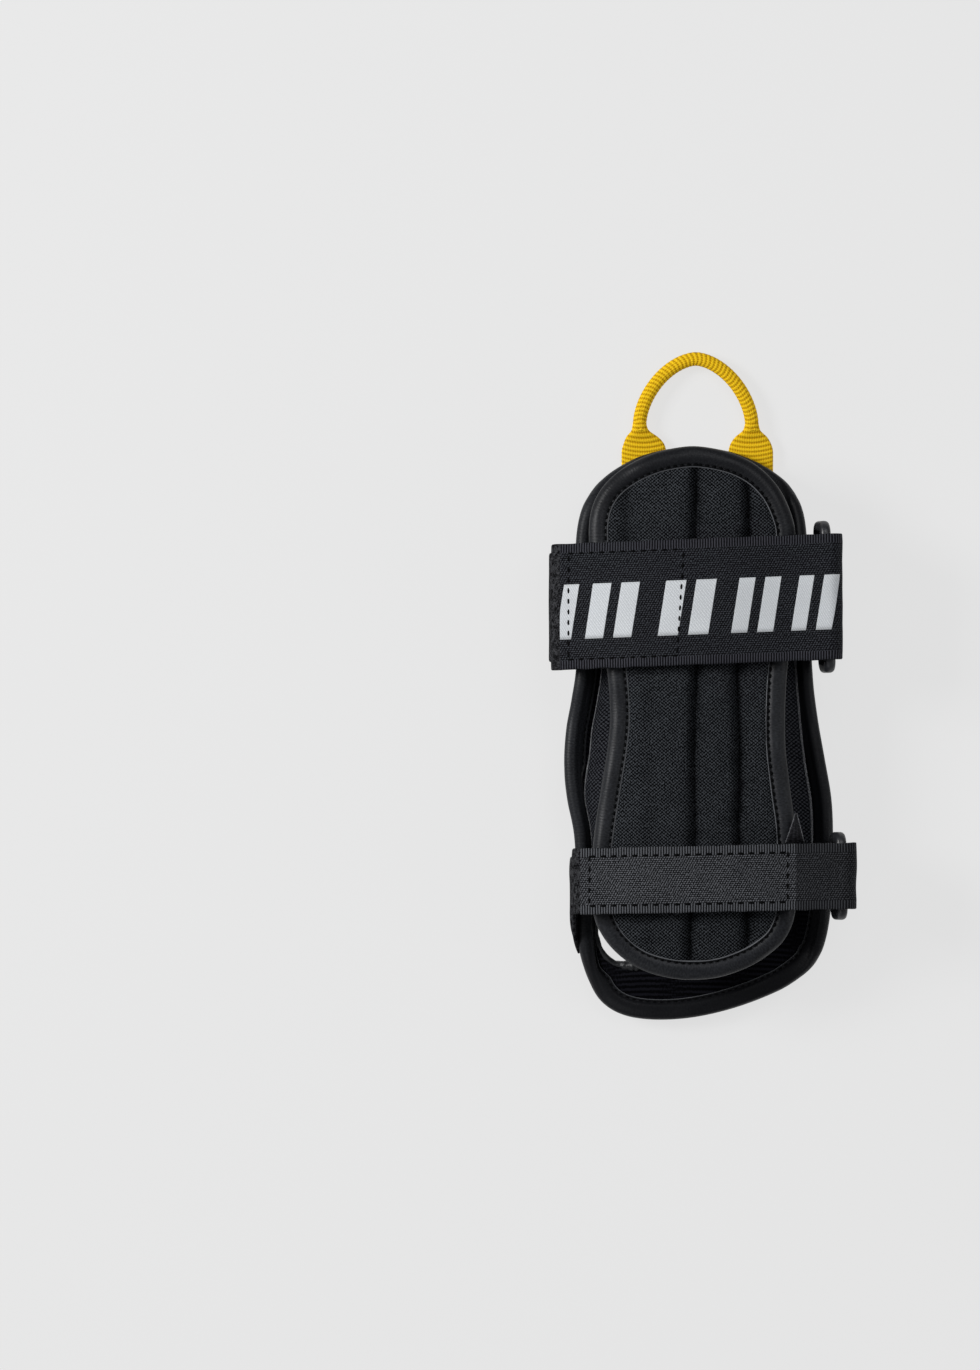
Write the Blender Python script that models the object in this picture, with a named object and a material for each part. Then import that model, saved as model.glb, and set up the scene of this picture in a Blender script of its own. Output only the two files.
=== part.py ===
"""Snowboard wrist guard for a left hand, lying on its palm side.

Two padded panels (palm and back of the hand) are joined by mesh gussets into an open-ended
sleeve.  A 38 mm forearm strap and a 20 mm hand strap each run through a plastic ring and fold
back on themselves.  A webbing pull loop is sewn to the forearm end.

Frame: +X little-finger side, -X thumb side, +Y forearm end, -Y hand end, +Z up.  Dimensions are
in millimetres and are turned into metres when a mesh is made.
"""
import math

import bmesh
import bpy
import numpy as np
from mathutils import Vector

MM = 0.001
GAP = 0.3                    # clearance between neighbouring solids

# Overall placing: moves the guard so that its bounding box is centred on the origin.
SHIFT_X = 1.15
SHIFT_Y = 0.0

# Padded panels
EDGE_WRAP = 1.25             # binding that stands outside the panel's own edge
SHELL = 1.0
STAY = 1.5
LINING = 0.9
PAD_FULL = 6.8               # whole panel, shell to lining
PAD_EDGE = 2.2               # whole panel where the binding grips it
PAD_TAPER = 12.0             # the pad thins over this distance from an edge
PAD_CORE = 8.5               # the foam stops this far inside an edge
BINDING = 0.8
BINDING_LIP = 5.0
CURL_RUN = 20.0              # how much of the palm panel's half width curls up
CURL_RISE = 14.0
CURL_ANGLE = math.radians(75)
GUSSET_FOOT = 7.6            # a gusset's foot, from the palm panel's edge
STRAP_STEP = 2.4             # the palm panel rides on the forearm strap by this much
ROW_STEP = 10.0              # spacing of the rows that a panel's layers share
DORSAL_TOP = 33.0
DORSAL_ARCH = 0.0055         # fall of the back panel per mm squared from its middle
DORSAL_MID = -3.7

# Straps
FOREARM_WIDTH = 38.0
FOREARM_Y = 25.7
FOREARM_TILT = math.radians(2.2)
HAND_WIDTH = 20.0
HAND_Y = -58.1
HAND_TILT = math.radians(1.2)
BAND = 1.9                   # looped strap, backing and pile
FLAP = 1.5
HOOK = 0.8
STRAP_TOP = 35.0             # middle of the lower strap layer over the back panel
STRAP_ARCH = 0.0041

# Rings: round bar, outer length along the strap's width, outer height
BAR = 1.6
RING_HEIGHT = 14.0
RING_CORNER = 4.0
RING_LEAN = math.radians(10)
FOREARM_RING_LENGTH = 46.0
HAND_RING_LENGTH = 26.6
FOREARM_BAR = (36.8, 30.3)   # upper bar, x and z
HAND_BAR = (41.0, 29.6)
FOLD = 3.8                   # flap's fold about the upper bar, to its middle

# Thumb hole, measured along the palm panel from its thumb-side edge
HOLE_D = 14.6
HOLE_Y = -57.0
HOLE_HALF = (8.0, 26.8)
HOLE_ROLL = 4.0              # width of the padded roll round the hole

# Pull loop
CORD = 4.0
LOOP_NECKS = (-19.9, 14.1)
LOOP_NECK_Y = 78.0
LOOP_START = 1.5             # from the neck line, so that the cord swings clear of its tabs
LOOP_TOP_Y = 99.3
LOOP_ROUND = 1.72            # exponent of the loop's arch: 2 is an ellipse, less is narrower
TAB_WIDTH = 13.8
TAB_Z = 1.75                 # middle of the tabs' thickness

PALM_OUTLINE = [
    (-2.4, 72.6), (7.6, 71.1), (14.8, 68.4), (20.4, 65.2), (25.4, 61.2), (28.6, 56.6),
    (30.4, 50.8), (31.2, 42.0), (31.8, 25.0), (32.9, 2.0), (34.4, -10.0), (36.5, -22.0),
    (38.5, -34.0), (39.0, -46.0), (38.7, -60.0), (37.9, -71.0), (35.9, -79.6), (32.9, -84.8),
    (28.4, -88.6), (22.3, -92.3), (10.3, -97.0), (-1.8, -100.0), (-12.4, -101.0),
    (-21.4, -100.4), (-27.5, -98.4), (-32.0, -95.0), (-35.2, -90.0), (-38.0, -82.6),
    (-39.4, -73.5), (-39.5, -60.0), (-40.2, -45.0), (-42.2, -34.3), (-43.2, -23.7),
    (-42.6, -13.0), (-41.0, -4.0), (-39.6, 6.0), (-39.8, 25.0), (-39.6, 44.0), (-38.1, 53.0),
    (-35.0, 59.0), (-30.6, 63.4), (-26.0, 66.6), (-19.9, 69.7), (-12.1, 71.8),
]
DORSAL_OUTLINE = [
    (-2.4, 72.6), (8.0, 70.6), (15.5, 67.0), (21.2, 61.6), (25.0, 55.0), (27.2, 47.0),
    (27.0, 25.0), (24.6, 2.0), (24.2, -16.0), (25.6, -30.0), (27.2, -42.0), (27.8, -58.0),
    (26.9, -70.0), (23.9, -76.8), (19.3, -81.2), (13.3, -84.9), (4.2, -88.1), (-4.8, -88.9),
    (-12.4, -88.1), (-20.0, -85.7), (-26.0, -81.8), (-30.8, -76.6), (-34.0, -70.0),
    (-35.0, -58.0), (-34.2, -46.0), (-32.0, -31.0), (-29.8, -17.0), (-29.2, -8.0),
    (-30.2, 5.0), (-33.6, 25.0), (-35.6, 44.0), (-35.0, 53.0), (-31.8, 60.0), (-26.0, 65.6),
    (-17.6, 70.0), (-10.0, 72.0),
]


# ---- materials ----------------------------------------------------------------------------
def material(name, colour, roughness):
    found = bpy.data.materials.get(name)
    if found:
        return found
    mat = bpy.data.materials.new(name)
    mat.use_nodes = True
    shader = mat.node_tree.nodes["Principled BSDF"]
    shader.inputs["Base Color"].default_value = (*colour, 1.0)
    shader.inputs["Roughness"].default_value = roughness
    mat.diffuse_color = (*colour, 1.0)
    return mat


COLOURS = {
    "shell_mesh": ((0.020, 0.021, 0.023), 0.85),
    "foam": ((0.060, 0.060, 0.062), 0.95),
    "lining_mesh": ((0.014, 0.014, 0.016), 0.9),
    "stay_plastic": ((0.110, 0.112, 0.115), 0.5),
    "binding": ((0.024, 0.024, 0.026), 0.55),
    "hole_binding": ((0.018, 0.018, 0.020), 0.45),
    "gusset_mesh": ((0.016, 0.016, 0.018), 0.9),
    "loop_pile": ((0.010, 0.010, 0.011), 1.0),
    "strap_weave": ((0.030, 0.031, 0.034), 0.75),
    "hook_tape": ((0.012, 0.012, 0.013), 0.8),
    "ring_plastic": ((0.022, 0.023, 0.025), 0.4),
    "keeper_webbing": ((0.022, 0.023, 0.025), 0.8),
    "yellow_webbing": ((0.860, 0.560, 0.015), 0.7),
    "label_satin": ((0.040, 0.040, 0.044), 0.4),
}


# ---- meshes -------------------------------------------------------------------------------
def add_object(name, verts, faces, look, origin=(0.0, 0.0, 0.0)):
    """A closed mesh in millimetres, with the object's origin at `origin`."""
    shift = np.array([SHIFT_X, SHIFT_Y, 0.0])
    origin = np.array(origin, float)
    mesh = bpy.data.meshes.new(name)
    points = (np.array(verts, float) - origin) * MM
    mesh.from_pydata(points.tolist(), [], [list(f) for f in faces])
    work = bmesh.new()
    work.from_mesh(mesh)
    bmesh.ops.recalc_face_normals(work, faces=work.faces)
    if work.calc_volume(signed=True) < 0:
        bmesh.ops.reverse_faces(work, faces=work.faces)
    work.to_mesh(mesh)
    work.free()
    mesh.materials.append(material(look, *COLOURS[look]))
    obj = bpy.data.objects.new(name, mesh)
    obj.location = ((origin + shift) * MM).tolist()
    bpy.context.scene.collection.objects.link(obj)
    return obj


def unit(v):
    return v / np.linalg.norm(v, axis=-1, keepdims=True)


def smooth(t):
    t = np.clip(t, 0.0, 1.0)
    return t * t * (3.0 - 2.0 * t)


def curve_through(points, per_span, closed):
    """Points along a smooth curve through the given ones."""
    p = np.array(points, float)
    count = len(p)
    gaps = np.linalg.norm(np.roll(p, -1, 0) - p, axis=1)
    if closed:
        before, after = np.roll(p, 1, 0), np.roll(p, -1, 0)
        slope = (after - before) / (gaps + np.roll(gaps, 1))[:, None]
    else:
        slope = np.zeros_like(p)
        slope[1:-1] = (p[2:] - p[:-2]) / (gaps[1:-1] + gaps[:-2])[:, None]
        slope[0] = (p[1] - p[0]) / gaps[0]
        slope[-1] = (p[-1] - p[-2]) / gaps[-2]
    out = []
    for i in range(count if closed else count - 1):
        j = (i + 1) % count
        for t in np.arange(per_span) / per_span:
            a = (2 * t**3 - 3 * t**2 + 1) * p[i] + (3 * t**2 - 2 * t**3) * p[j]
            b = (t**3 - 2 * t**2 + t) * slope[i] + (t**3 - t**2) * slope[j]
            out.append(a + b * gaps[i])
    if not closed:
        out.append(p[-1])
    return np.array(out)


def inset(loop, distance):
    """A clockwise closed plan curve moved inward."""
    along = unit(np.roll(loop, -1, 0) - np.roll(loop, 1, 0))
    inward = np.stack([along[:, 1], -along[:, 0]], axis=1)
    return loop + inward * distance


def even_loop(loop, count):
    """`count` evenly spaced points round a closed curve."""
    closed = np.vstack([loop, loop[:1]])
    run = np.concatenate([[0], np.cumsum(np.linalg.norm(np.diff(closed, axis=0), axis=1))])
    at = np.linspace(0, run[-1], count, endpoint=False)
    return np.stack([np.interp(at, run, closed[:, k]) for k in range(loop.shape[1])], axis=1)


def sides(loop):
    """The thumb-side and little-finger-side x of a closed plan curve, by y."""
    low, high = loop[:, 1].argmin(), loop[:, 1].argmax()
    turned = np.roll(loop, -high, 0)
    cut = (low - high) % len(loop)
    right = turned[: cut + 1][::-1]
    left = np.vstack([turned[cut:], turned[:1]])
    return left, right


# ---- panels -------------------------------------------------------------------------------
class Panel:
    """A padded panel: its plan outline, the height of its outer face and which way is in."""

    def __init__(self, outline, height, inward):
        self.outer = curve_through(outline, 6, True)
        self.edge = inset(self.outer, EDGE_WRAP)
        self.left, self.right = sides(self.edge)
        self.height = height
        self.inward = inward

    def span(self, y, loop=None):
        left, right = sides(loop) if loop is not None else (self.left, self.right)
        return np.interp(y, left[:, 1], left[:, 0]), np.interp(y, right[:, 1], right[:, 0])

    def point(self, x, y, offset=0.0):
        """The outer face at (x, y), moved in through the panel by `offset`."""
        step = 0.05
        z = self.height(self, x, y)
        dx = (self.height(self, x + step, y) - self.height(self, x - step, y)) / (2 * step)
        dy = (self.height(self, x, y + step) - self.height(self, x, y - step)) / (2 * step)
        normal = unit(np.stack([-dx, -dy, np.ones_like(dx)], axis=-1)) * self.inward
        here = np.stack([x, y, z], axis=-1)
        return here + normal * np.asarray(offset)[..., None]

    def from_edge(self, y, distance, side):
        """x at `distance` along the face from the edge on the given side (-1 or 1)."""
        xl, xr = self.span(y)
        start, end = (xl, xr) if side < 0 else (xr, xl)
        x = np.linspace(start, end, 240)
        z = self.height(self, x, np.full_like(x, y))
        run = np.concatenate([[0], np.cumsum(np.hypot(np.diff(x), np.diff(z)))])
        return float(np.interp(distance, run, x))


def palm_height(panel, x, y):
    """Flat in the middle, curling up at both sides, a little higher at both ends."""
    low, high = panel.edge[:, 1].min(), panel.edge[:, 1].max()
    xl, xr = panel.span(np.clip(y, low + 20.0, high - 15.0))
    half, mid = (xr - xl) / 2, (xr + xl) / 2
    t = np.maximum((np.abs(x - mid) - (half - CURL_RUN)) / CURL_RUN, 0.0)
    inside = np.minimum(t, 1.0) * math.sin(CURL_ANGLE)
    bend = 1 - np.sqrt(1 - inside**2)
    bend = bend + np.maximum(t - 1, 0) * math.sin(CURL_ANGLE) * math.tan(CURL_ANGLE)
    along = np.clip(np.abs(2 * y - low - high) / (high - low), 0, 1)
    rise = CURL_RISE * (1 - along**3) / (1 - math.cos(CURL_ANGLE))
    base = STRAP_STEP * smooth((y + 12) / 16) + 1.4 * smooth((y - 46) / 14)
    return base + 2.8 * smooth((-72 - y) / 28) + rise * bend


def dorsal_height(panel, x, y):
    """Arched across, with both ends drooping."""
    top = DORSAL_TOP - 7.0 * smooth((-68 - y) / 24) - 3.5 * smooth((y - 46) / 26)
    return top - DORSAL_ARCH * (x - DORSAL_MID) ** 2


def hole_loop(palm, grow, count, outward=None):
    """Plan points round the thumb hole, `grow` outside its opening, or `outward` at its edge side."""
    out = []
    for k in range(count):
        angle = 2 * math.pi * k / count
        c, s = math.cos(angle), math.sin(angle)
        reach = (abs(c) ** 2.4 + abs(s) ** 2.4) ** (-1 / 2.4)
        wide = HOLE_HALF[0] + (outward if outward and c > 0 else grow)
        y = HOLE_Y + (HOLE_HALF[1] + grow) * s * reach
        x = palm.from_edge(y, max(HOLE_D - wide * c * reach, 0.0), -1)
        out.append((x, y))
    return np.array(out)


def distance_to(points, loop):
    """Each point's distance to a closed polyline."""
    a, b = loop, np.roll(loop, -1, 0)
    along = b - a
    t = ((points[:, None] - a) * along).sum(-1) / (along**2).sum(-1)
    near = a + along * np.clip(t, 0, 1)[..., None]
    return np.linalg.norm(points[:, None] - near, axis=-1).min(axis=1)


def pad_thickness(distance):
    return PAD_EDGE + (PAD_FULL - PAD_EDGE) * np.clip(distance / PAD_TAPER, 0.0, 1.0)


def row_places(low, high):
    """Rows close together at both ends and on shared 10 mm lines between."""
    ends = np.array([0.0, 0.9, 3.2, 7.0])
    fine = np.arange(-90.0, 71.0, ROW_STEP / 2)
    inside = fine[(fine > low + 9.0) & (fine < high - 9.0)]
    near_end = (inside < low + 22.0) | (inside > high - 22.0)
    shared = inside[near_end | (inside % ROW_STEP == 0)]
    return np.concatenate([low + ends, shared, (high - ends)[::-1]])


def plan_grid(panel, loop, steps, columns):
    """Rows of plan points that fill a closed curve; `steps` are the first steps in from a side."""
    low, high = loop[:, 1].min() + 0.15, loop[:, 1].max() - 0.15
    grid = []
    for y in row_places(low, high):
        xl, xr = panel.span(y, loop)
        x = np.linspace(xl, xr, 200)
        z = panel.height(panel, x, np.full_like(x, y))
        run = np.concatenate([[0], np.cumsum(np.hypot(np.diff(x), np.diff(z)))])
        ends = np.array(steps) * min(1.0, run[-1] / (2.6 * steps[-1]))
        middle = np.linspace(ends[-1], run[-1] - ends[-1], columns)[1:-1]
        at = np.concatenate([ends, middle, (run[-1] - ends)[::-1]])
        grid.append(np.stack([np.interp(at, run, x), np.full(len(at), y)], axis=1))
    return np.array(grid)


def sheet_solid(name, lower, upper, look, origin=(0.0, 0.0, 0.0)):
    """A closed solid between two grids of points."""
    rows, cols = lower.shape[:2]
    verts = np.vstack([lower.reshape(-1, 3), upper.reshape(-1, 3)])
    half = rows * cols

    def at(i, j):
        return i * cols + j

    faces = []
    for i in range(rows - 1):
        for j in range(cols - 1):
            a, b, c, d = at(i, j), at(i, j + 1), at(i + 1, j + 1), at(i + 1, j)
            for tri in ((a, b, c), (a, c, d)):
                faces.append(tri)
                faces.append(tuple(half + v for v in reversed(tri)))
    rim = [at(0, j) for j in range(cols)] + [at(i, cols - 1) for i in range(1, rows)]
    rim += [at(rows - 1, j) for j in range(cols - 2, -1, -1)]
    rim += [at(i, 0) for i in range(rows - 2, 0, -1)]
    for k, v in enumerate(rim):
        w = rim[(k + 1) % len(rim)]
        faces.append((v, half + v, half + w, w))
    return add_object(name, verts, faces, look, origin)


def panel_layer(name, panel, loop, spacing, low, high, look):
    """One layer of a panel; low and high give its two offsets from the pad's thickness."""
    grid = plan_grid(panel, loop, *spacing)
    flat = grid.reshape(-1, 2)
    rim = panel.point(panel.edge[:, 0], panel.edge[:, 1])
    thick = pad_thickness(distance_to(panel.point(flat[:, 0], flat[:, 1]), rim))
    lower = panel.point(flat[:, 0], flat[:, 1], low(thick)).reshape(*grid.shape[:2], 3)
    upper = panel.point(flat[:, 0], flat[:, 1], high(thick)).reshape(*grid.shape[:2], 3)
    return sheet_solid(name, lower, upper, look)


def stay(name, panel, x0, x1, y0, y1):
    """A springy strip lying between the shell and the foam."""
    rows = [y0] + [y for y in np.arange(-90.0, 71.0, ROW_STEP) if y0 + 2 < y < y1 - 2] + [y1]
    x, y = np.meshgrid(np.linspace(x0, x1, 3), rows)
    low = SHELL + GAP
    lower = panel.point(x, y, np.full_like(x, low))
    upper = panel.point(x, y, np.full_like(x, low + STAY))
    return sheet_solid(name, lower, upper, "stay_plastic")


def loop_solid(name, rings, look, origin=(0.0, 0.0, 0.0)):
    """A closed tube from an array of section rings."""
    count, size = rings.shape[:2]
    faces = []
    for i in range(count):
        for j in range(size):
            k, m = (i + 1) % count, (j + 1) % size
            faces.append((i * size + j, i * size + m, k * size + m, k * size + j))
    return add_object(name, rings.reshape(-1, 3), faces, look, origin)


def tube_solid(name, rings, look, origin=(0.0, 0.0, 0.0)):
    """An open run of section rings with flat ends."""
    count, size = rings.shape[:2]
    faces = [tuple(range(size)), tuple(range((count - 1) * size, count * size))]
    for i in range(count - 1):
        for j in range(size):
            m = (j + 1) % size
            faces.append((i * size + j, i * size + m, (i + 1) * size + m, (i + 1) * size + j))
    return add_object(name, rings.reshape(-1, 3), faces, look, origin)


def edge_frames(panel, loop):
    """Position, outward and inward-normal directions at plan points round a closed curve."""
    x, y = loop[:, 0], loop[:, 1]
    here = panel.point(x, y)
    normal = panel.point(x, y, np.ones_like(x)) - here
    along = unit(np.roll(here, -1, 0) - np.roll(here, 1, 0))
    out = unit(np.cross(normal, along))
    if ((here - here.mean(axis=0)) * out).sum() < 0:
        out = -out
    return here, out, normal


def inward_points(panel, loop, distance):
    """Plan points at a distance along the face, in from each point of an edge curve."""
    inner = unit(np.roll(loop, -1, 0) - np.roll(loop, 1, 0))
    inner = np.stack([inner[:, 1], -inner[:, 0]], axis=1)
    step = np.linspace(0.0, 9.0, 91)
    x = loop[:, :1] + inner[:, :1] * step
    y = loop[:, 1:] + inner[:, 1:] * step
    z = panel.height(panel, x, y)
    run = np.cumsum(np.hypot(np.diff(z, axis=1), step[1]), axis=1)
    run = np.hstack([np.zeros((len(loop), 1)), run])
    s = np.array([np.interp(d, r, step) for d, r in zip(distance, run)])
    return loop + inner * s[:, None]


def edge_binding(name, panel, lips, count, look):
    """A folded tape gripping a panel's edge."""
    loop = even_loop(panel.edge, count)
    here, out, normal = edge_frames(panel, loop)
    lip = np.array([lips(x, y) for x, y in loop])
    tip = inward_points(panel, loop, lip)
    mid = inward_points(panel, loop, lip / 2)

    def face(plan, offset):
        return panel.point(plan[:, 0], plan[:, 1], offset)

    def rim(across, offset):
        return here + out * across + normal * offset

    loose = 2.0 * GAP
    under = -loose - BINDING
    over_tip = pad_thickness(lip) + 2.5 * GAP
    over_mid = pad_thickness(lip / 2) + 2 * GAP
    flat = np.zeros(count)
    section = [
        face(tip, flat + under), face(mid, flat + under), rim(0.2, under), rim(EDGE_WRAP, 0.2),
        rim(EDGE_WRAP, PAD_EDGE - 0.2), rim(0.2, PAD_EDGE + 0.5 + BINDING),
        face(mid, over_mid + BINDING), face(tip, over_tip + BINDING),
        face(tip, over_tip), face(mid, over_mid), rim(0.4, PAD_EDGE + 0.5), rim(0.4, -loose),
        face(mid, flat - loose), face(tip, flat - loose),
    ]
    return loop_solid(name, np.stack(section, axis=1), look)


def palm_lip(x, y):
    """The binding's lip, narrower beside the thumb hole."""
    near = smooth((34.0 - abs(y - HOLE_Y)) / 6.0) if x < -20 else 0.0
    return float(BINDING_LIP - 3.6 * near)


def dorsal_lip(x, y):
    return BINDING_LIP


def hole_binding(palm):
    """The padded roll round the thumb hole, as thick as the pad that it edges."""
    loop = hole_loop(palm, HOLE_ROLL / 2, 36)
    here, out, normal = edge_frames(palm, loop)
    rim = palm.point(palm.edge[:, 0], palm.edge[:, 1])
    thick = pad_thickness(distance_to(here, rim))
    half = HOLE_ROLL / 2
    rings = []
    for p, e, n, t in zip(here, out, normal, thick):
        low, high = max(-0.9, 0.25 - p[2]), t + 0.9
        section = [
            (-half, low + 1.2), (-half + 1.2, low), (half - 1.2, low), (half, low + 1.2),
            (half, high - 1.2), (half - 1.2, high), (-half + 1.2, high), (-half, high - 1.2),
        ]
        rings.append([p + e * a + n * b for a, b in section])
    return loop_solid("thumb_hole_binding", np.array(rings), "hole_binding")


def hole_plug(palm):
    """The solid cut from each layer of the palm panel; beside the hole it leaves no layer at all."""
    loop = hole_loop(palm, HOLE_ROLL + 1.6, 36, 11.0)
    mid_x = palm.from_edge(HOLE_Y, HOLE_D, -1)
    verts, faces = [], []
    count = len(loop)
    for offset in (-6.0, 12.0):
        ring = palm.point(loop[:, 0], loop[:, 1], np.full(count, offset))
        verts.extend(ring)
    for offset in (-6.0, 12.0):
        verts.append(palm.point(np.array(mid_x), np.array(HOLE_Y), np.array(offset)))
    for k in range(count):
        m = (k + 1) % count
        faces.append((k, m, count + m, count + k))
        faces.append((k, m, 2 * count))
        faces.append((count + k, count + m, 2 * count + 1))
    plug = add_object("thumb_hole_cutter", verts, faces, "foam")
    plug.hide_render = True
    plug.display_type = "WIRE"
    return plug


def cut(target, cutter):
    cutting = target.modifiers.new("thumb_hole", "BOOLEAN")
    cutting.operation = "DIFFERENCE"
    cutting.solver = "EXACT"
    cutting.object = cutter


def gusset_foot(y, side):
    """Distance of a gusset's foot from the palm panel's edge; it passes outside the thumb hole."""
    near_hole = smooth((-18.0 - y) / 18.0) if side < 0 else 0.0
    return GUSSET_FOOT - (GUSSET_FOOT - 2.8) * near_hole


def gusset(name, palm, dorsal, side, y0, y1):
    """A mesh wall from just inside the palm panel's rim up to just under the back panel's."""
    lower, upper = [], []
    for y in np.linspace(y0, y1, 15):
        foot = gusset_foot(y, side)
        px = palm.from_edge(y, foot, side)
        low = palm.point(np.array(px), np.array(y), pad_thickness(foot) + 0.5)
        dx = dorsal.from_edge(y, 7.5, side)
        high = dorsal.point(np.array(dx), np.array(y), pad_thickness(7.5) + 0.5)
        row = [low + (high - low) * t for t in np.linspace(0, 1, 4)]
        for t, p in zip(np.linspace(0, 1, 4), row):
            p[0] += side * 2.0 * math.sin(math.pi * t)
        lower.append([p - np.array([side * 0.4, 0, 0]) for p in row])
        upper.append([p + np.array([side * 0.4, 0, 0]) for p in row])
    return sheet_solid(name, np.array(lower), np.array(upper), "gusset_mesh")


# ---- straps -------------------------------------------------------------------------------
def turned(x, y, z, centre_y, tilt):
    """A point of a strap's own section, turned about the vertical through the strap's middle."""
    c, s = math.cos(tilt), math.sin(tilt)
    return (x * c - y * s, centre_y + x * s + y * c, z)


def ribbon(name, path, width, thick, centre_y, tilt, look, axis=None):
    """A strap of even thickness along a path in x and z."""
    path = np.array(path, float)
    along = unit(np.gradient(path, axis=0))
    side = np.stack([-along[:, 1], along[:, 0]], axis=1) * thick / 2
    rings = []
    for p, s in zip(path, side):
        corners = [(p - s, -1), (p - s, 1), (p + s, 1), (p + s, -1)]
        rings.append([turned(q[0], w * width / 2, q[1], centre_y, tilt) for q, w in corners])
    origin = (0.0, 0.0, 0.0) if axis is None else turned(axis[0], 0.0, axis[1], centre_y, tilt)
    return tube_solid(name, np.array(rings), look, origin)


def arc(centre, radius, start, end, count):
    """Points on an arc in x and z; angles in degrees from +X towards +Z."""
    a = np.radians(np.linspace(start, end, count))
    return [(centre[0] + radius * math.cos(t), centre[1] + radius * math.sin(t)) for t in a]


def over_back(x, lift):
    return (x, STRAP_TOP + lift - STRAP_ARCH * (x - DORSAL_MID) ** 2)


def lower_bar(upper):
    drop = RING_HEIGHT - 2 * BAR
    return (upper[0] - drop * math.sin(RING_LEAN), upper[1] - drop * math.cos(RING_LEAN))


def ring(name, upper, length, centre_y, tilt):
    """A round-bar loop, its origin on the lower bar."""
    low = lower_bar(upper)
    up = np.array([math.sin(RING_LEAN), math.cos(RING_LEAN)])
    half_y, half_z = length / 2 - BAR, RING_HEIGHT / 2 - BAR
    bend = RING_CORNER - BAR
    stations = []
    for quarter, (sy, sz) in enumerate([(1, 1), (-1, 1), (-1, -1), (1, -1)]):
        for a in np.radians(90 * quarter + np.linspace(0, 90, 4)):
            y = sy * (half_y - bend) + bend * math.cos(a)
            z = sz * (half_z - bend) + bend * math.sin(a)
            stations.append((y, z, math.cos(a), math.sin(a)))
    rings = []
    for y, z, cy, cz in stations:
        section = []
        for b in np.arange(8) * math.pi / 4:
            out, across = BAR * math.cos(b), BAR * math.sin(b)
            py, pz = y + cy * out, half_z + z + cz * out
            x = low[0] + up[0] * pz + up[1] * across
            section.append(turned(x, py, low[1] + up[1] * pz - up[0] * across, centre_y, tilt))
        rings.append(section)
    origin = turned(low[0], 0.0, low[1], centre_y, tilt)
    return loop_solid(name, np.array(rings), "ring_plastic", origin)


def forearm_strap():
    """The long strap: round the lower bar, under the palm, round the thumb side, over the back."""
    low = lower_bar(FOREARM_BAR)
    reach = BAR + GAP + BAND / 2
    tail = [(33.4, 10.8), (34.1, 13.0), (33.8, 15.2)]
    wrap = arc(low, reach, 200, -20, 8)
    under = [
        (37.3, 14.2), (36.4, 10.8), (33.8, 7.2), (29.6, 4.2), (24.0, 2.1), (17.0, 1.15),
        (8.0, 1.05),
        (-8.0, 1.05), (-22.0, 1.05), (-30.0, 1.6), (-37.0, 4.0), (-42.4, 8.6), (-45.8, 14.5),
        (-46.4, 20.5), (-44.2, 26.0), (-40.2, 29.2),
    ]
    over = [over_back(x, 0.0) for x in (-35.0, -25.0, -14.0, -3.0, 8.0, 18.0, 26.0)]
    path = curve_through(tail + wrap + under + over + [(30.6, 29.0)], 2, False)
    place = (FOREARM_WIDTH, BAND, FOREARM_Y, FOREARM_TILT)
    ribbon("forearm_strap_band", path, *place, "loop_pile")

    fold = arc(FOREARM_BAR, FOLD, -90, 90, 9)
    lift = BAND / 2 + GAP + HOOK + GAP + FLAP / 2
    top = [(28.0, 34.6), (18.0, 35.9)]
    top += [over_back(x, lift) for x in (6.0, -3.0, -12.0, -22.0, -31.0, -38.0)]
    path = curve_through(fold + top + [(-44.0, 32.0)], 2, False)
    place = (FOREARM_WIDTH, FLAP, FOREARM_Y, FOREARM_TILT)
    ribbon("forearm_strap_flap", path, *place, "strap_weave", FOREARM_BAR)

    under = FLAP / 2 + GAP + HOOK / 2
    patch = [over_back(x, lift - under) for x in np.linspace(-8.0, -38.0, 6)]
    patch = curve_through(patch + [(-42.6, 30.8)], 2, False)
    place = (FOREARM_WIDTH - 4.0, HOOK, FOREARM_Y, FOREARM_TILT)
    ribbon("forearm_hook_patch", patch, *place, "hook_tape", FOREARM_BAR)
    ring("forearm_ring", FOREARM_BAR, FOREARM_RING_LENGTH, FOREARM_Y, FOREARM_TILT)


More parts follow.
